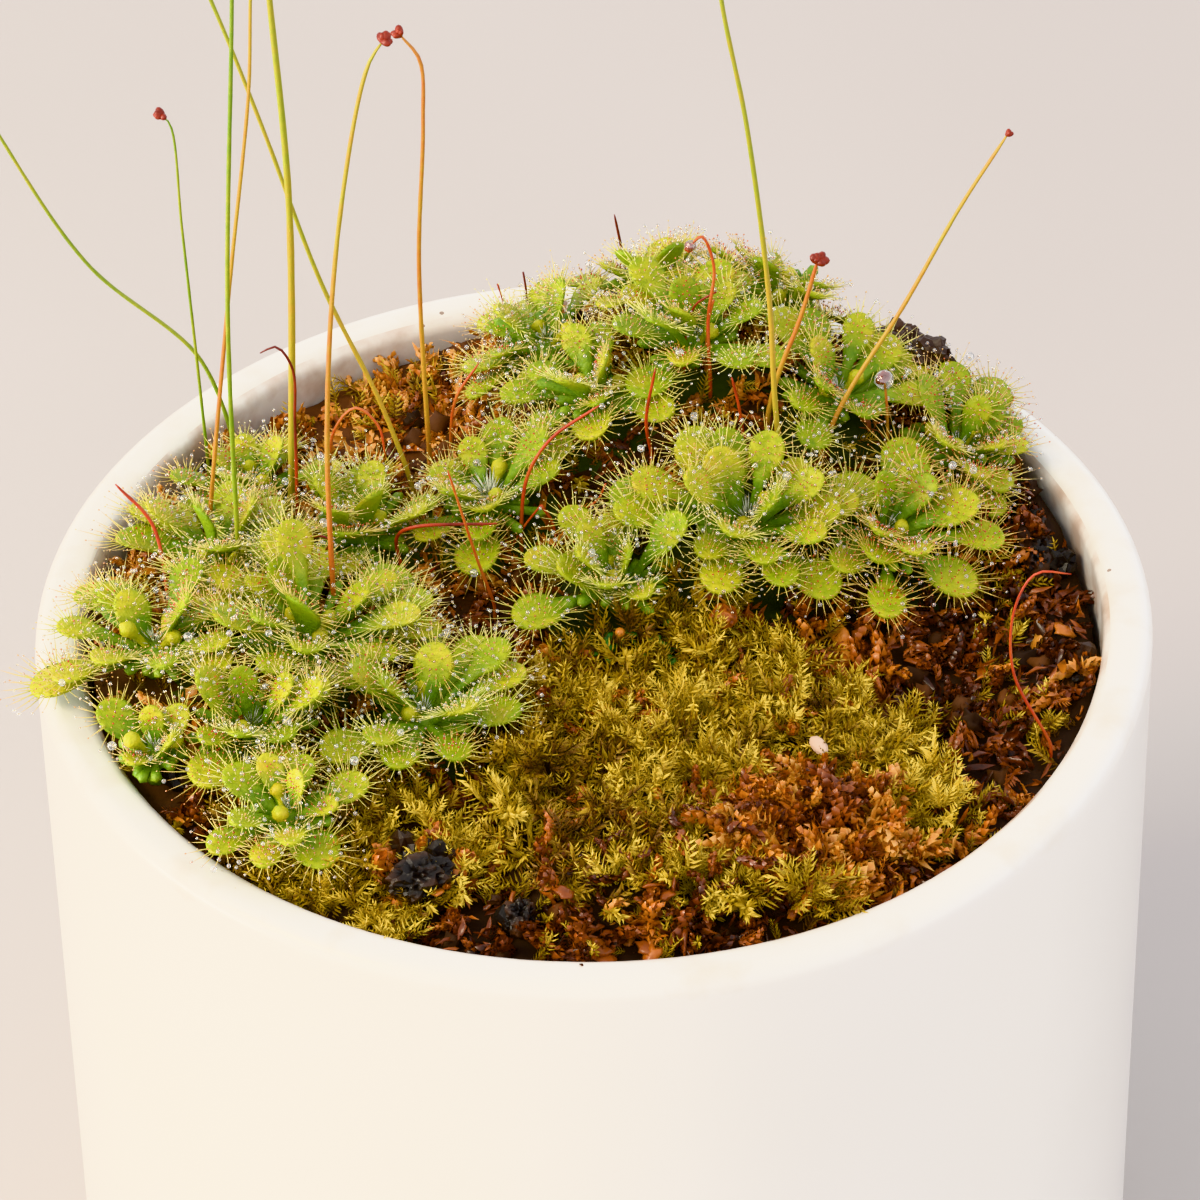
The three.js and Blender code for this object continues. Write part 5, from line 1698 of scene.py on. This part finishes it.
def make_dead_leaves():
    heap = Heap()
    for cx, cy, spread, count, length, tone in DRIFTS:
        x, y = in_bed(*strewn(cx, cy, spread, count), 1.2)
        tones = np.clip(tone + rng.normal(0, 0.16, len(x)), 0, 1)
        press_branches(heap, x, y, cover_top(x, y) - 1.5 + 0.8 * rng.random(len(x)), -12, 38, length, tones)
    for cx, cy, spread, count, length, tone in SCRAPS:
        x, y = strewn(cx, cy, spread, count)
        tones = np.clip(tone + rng.normal(0, 0.1, count), 0, 1)
        height = cover_top(x, y) - 0.5 + 0.7 * rng.random(count)
        places = np.stack([x, y, height], 1)
        flat = length * (0.5 + 0.4 * rng.random((count, 1))) * np.array([0.42, 0.14, 0.6])
        for index, crumb in enumerate(CRUMBS):
            few = slice(index, None, len(CRUMBS))
            press(heap, crumb, places[few], leaning(x[few], y[few], 0, 70), flat[few], tones[few])
    for x, y in SEEDS:
        place = np.array([[x, y, float(cover_top(x, y)) - 0.2]])
        press(heap, BEAD_FINE, place, np.array([[0.3, 0.2, 1.0]]), [(0.5, 0.42, 0.42)], 0.8)
    return settle(heap.build("dead_leaves", [DEAD_MOSS]), "sphagnum")


# %% Liverwort and charred crumbs
def make_liverwort():
    """Glossy green flakes of liverwort on the wet peat, and a plantlet by the left wall."""
    heap = Heap()
    for cx, cy, spread, count, size in ((5.5, -3.1, 2.2, 46, 0.62), (-35, -16.2, 0.9, 22, 0.75)):
        x, y = strewn(cx, cy, spread, count, 0.6)
        height = np.maximum(ground_height(x, y) + 0.1, -2) + 0.9 * rng.random(count)
        ways = leaning(x, y, 40, 85)
        sizes = size * (0.6 + 0.7 * rng.random((count, 1))) * np.array([1, 0.8, 0.25])
        press(heap, BEAD, np.stack([x, y, height], 1), ways, sizes, 0.3 + 0.6 * rng.random(count))
    return settle(heap.build("liverwort_bits", [LIVERWORT]), "moss")


CHARRED = [
    # x, y, spread, how many, size
    (37.6, 13, 2.6, 34, 1.4),
    (34, 21.5, 2.2, 20, 1.4),
    (31, 28, 2.4, 22, 1.4),
    (39, -3, 1.2, 7, 1.2),
    (-13.6, -31, 1.6, 9, 1.2),
    (-6, -35, 0.9, 6, 1.0),
    (-33, -21, 1.2, 5, 1.2),
    (-31, 23, 2.0, 8, 1.2),
]
STACKED = [
    # x, y, height above the cover
    (27, 29, 0.6),
    (29.4, 26.6, 0.8),
    (27.6, 27.4, 2.6),
    (31.4, 24.4, 1.2),
    (28.6, 26.4, 4.4),
    (26, 29.4, 3.4),
]
CHUNK_SIZE = (2.1, 1.4, 1.7)


def make_charred_crumbs():
    """Crumbs of burnt bark round the larger bits and in the banks against the wall."""
    heap = Heap()
    for cx, cy, spread, count, size in CHARRED:
        x, y = in_bed(*strewn(cx, cy, spread, count), 0.8)
        height = cover_top(x, y) - 0.3 + 0.6 * bank(x, y) + 0.4 * rng.random(len(x))
        press_crumbs(heap, x, y, height, size)
    for number, (x, y, height) in enumerate(STACKED):
        place = np.array([[x, y, float(cover_top(x, y)) + height]])
        way = np.array([[0.4, number - 2.0, 1.0]])
        press(heap, CHUNKS[number % len(CHUNKS)], place, way, [CHUNK_SIZE], 0.2 + 0.12 * number)
    return settle(heap.build("charred_crumbs", [CHAR], smooth=False), "charred_bark")


for make in (make_litter, make_stray_moss, make_dead_leaves, make_charred_crumbs, make_liverwort):
    piece = make()
    print(piece.name, len(piece.data.polygons), "triangles")

# %% [markdown]
# ## Bits of bark, a scale and a husk
#
# Charred bark is lumpy and cracked. Each bit is a finely divided ball whose points are moved in and out
# by noise; where a second noise crosses zero it is cut back into a crack. The husk and the scale are the
# same ball, hardly carved.

# %% Loose bits
CHIPS = {
    # x, y, half sizes, turn, how rough, finish, slot
    "charred_bark_1": (-13.5, -32, (2.6, 1.9, 1.7), 20, 0.55, CHAR, "charred_bark"),
    "charred_bark_2": (-6, -35.5, (1.5, 1.4, 1.6), 70, 0.55, CHAR, "charred_bark"),
    "charred_bark_3": (25.5, 29.5, (2.8, 1.6, 1.3), -35, 0.55, CHAR, "charred_bark"),
    "charred_bark_4": (36.5, 9, (1.6, 2.8, 1.4), 10, 0.55, CHAR, "charred_bark"),
    "brown_scale": (10.5, -2.2, (1.1, 1.2, 0.9), 0, 0.3, DEAD_MOSS, "seed"),
    "seed_husk": (17.5, -17.6, (0.6, 1.15, 0.5), 25, 0.1, HUSK, "husk"),
}


def make_chip(node):
    x, y, size, turn, rough, finish, slot = CHIPS[node]
    points, faces, _ = BEAD_FINEST
    carved = np.array([carve(point, rough, x) for point in points])
    turned = carved * size @ np.array(Matrix.Rotation(math.radians(-turn), 3, "Z"))
    height = float(cover_top(x, y)) + 0.15 * size[2]
    depth = np.linalg.norm(carved, axis=1)
    heap = Heap()
    heap.add(turned + (x, y, height), faces, 0, 0.5, np.clip(1.6 * depth - 1.1, 0, 1))
    return settle(heap.build(f"{node}_bit", [finish], smooth=finish != CHAR), slot, node)


for node in CHIPS:
    make_chip(node)
print("bits:", len(CHIPS), "all triangles:", sum(triangles.values()))

# %% [markdown]
# ## Floor and light
#
# The pot stands on a plain pale floor that runs on behind it. The light is a window on the left and a
# little in front, warm as morning, with a low reflector under it. The room does the rest: its bright walls
# light the sides of the pot, and its dimmer ceiling leaves the gaps between the plants dark.


# %% Floor
FLOOR_HALF = 6000.0


def make_floor():
    cloth = Finish("floor", Roughness=0.9)
    tint = cloth.ramp(cloth.grain(120, 2), [(0.3, 184, 178, 175), (0.7, 188, 182, 180)])
    cloth.drive(Base_Color=tint)
    corners = np.array([(-1, -1), (1, -1), (1, 1), (-1, 1)]) * FLOOR_HALF
    heap = Heap()
    heap.add([(x, y, -POT_HEIGHT) for x, y in corners], [(0, 1, 2), (0, 2, 3)])
    floor = heap.build("floor", [cloth.material])


# %% Lights
def make_light(name, place, size, power, colour):
    """A square soft light that faces the middle of the rim."""
    lamp = bpy.data.lights.new(name, "AREA")
    lamp.size, lamp.energy, lamp.color = size * MM, power, colour
    light = bpy.data.objects.new(name, lamp)
    light.location = Vector(place) * MM
    target = Vector((0, 0, POT_HEIGHT)) * MM
    light.rotation_mode = "QUATERNION"
    light.rotation_quaternion = (target - light.location).to_track_quat("-Z", "Y")
    bpy.context.scene.collection.objects.link(light)


ROOM_WALL = (1.55, 1.55, 1.6, 1)
ROOM_TOP = (1.0, 1.0, 1.02, 1)


def make_room():
    """The world's light: bright pale walls all round under a dimmer ceiling."""
    world = bpy.data.worlds.new("room")
    world.use_nodes = True
    nodes, links = world.node_tree.nodes, world.node_tree.links
    place, split = nodes.new("ShaderNodeTexCoord"), nodes.new("ShaderNodeSeparateXYZ")
    fade = nodes.new("ShaderNodeValToRGB")
    fill_ramp(fade.color_ramp, [(0.0, ROOM_WALL), (0.3, ROOM_WALL), (0.9, ROOM_TOP)])
    links.new(place.outputs["Generated"], split.inputs[0])
    links.new(split.outputs["Z"], fade.inputs[0])
    links.new(fade.outputs[0], nodes["Background"].inputs["Color"])
    bpy.context.scene.world = world


make_floor()
make_light("window", (-763, -356, 789), 400, 8.2, (1.0, 0.86, 0.62))
make_light("reflector", (-560, -150, 24), 240, 5.2, (1.0, 0.92, 0.78))
make_room()
view, tracing = bpy.context.scene.view_settings, bpy.context.scene.cycles
view.view_transform = "Khronos PBR Neutral"
tracing.max_bounces, tracing.diffuse_bounces, tracing.transparent_max_bounces = 5, 3, 6
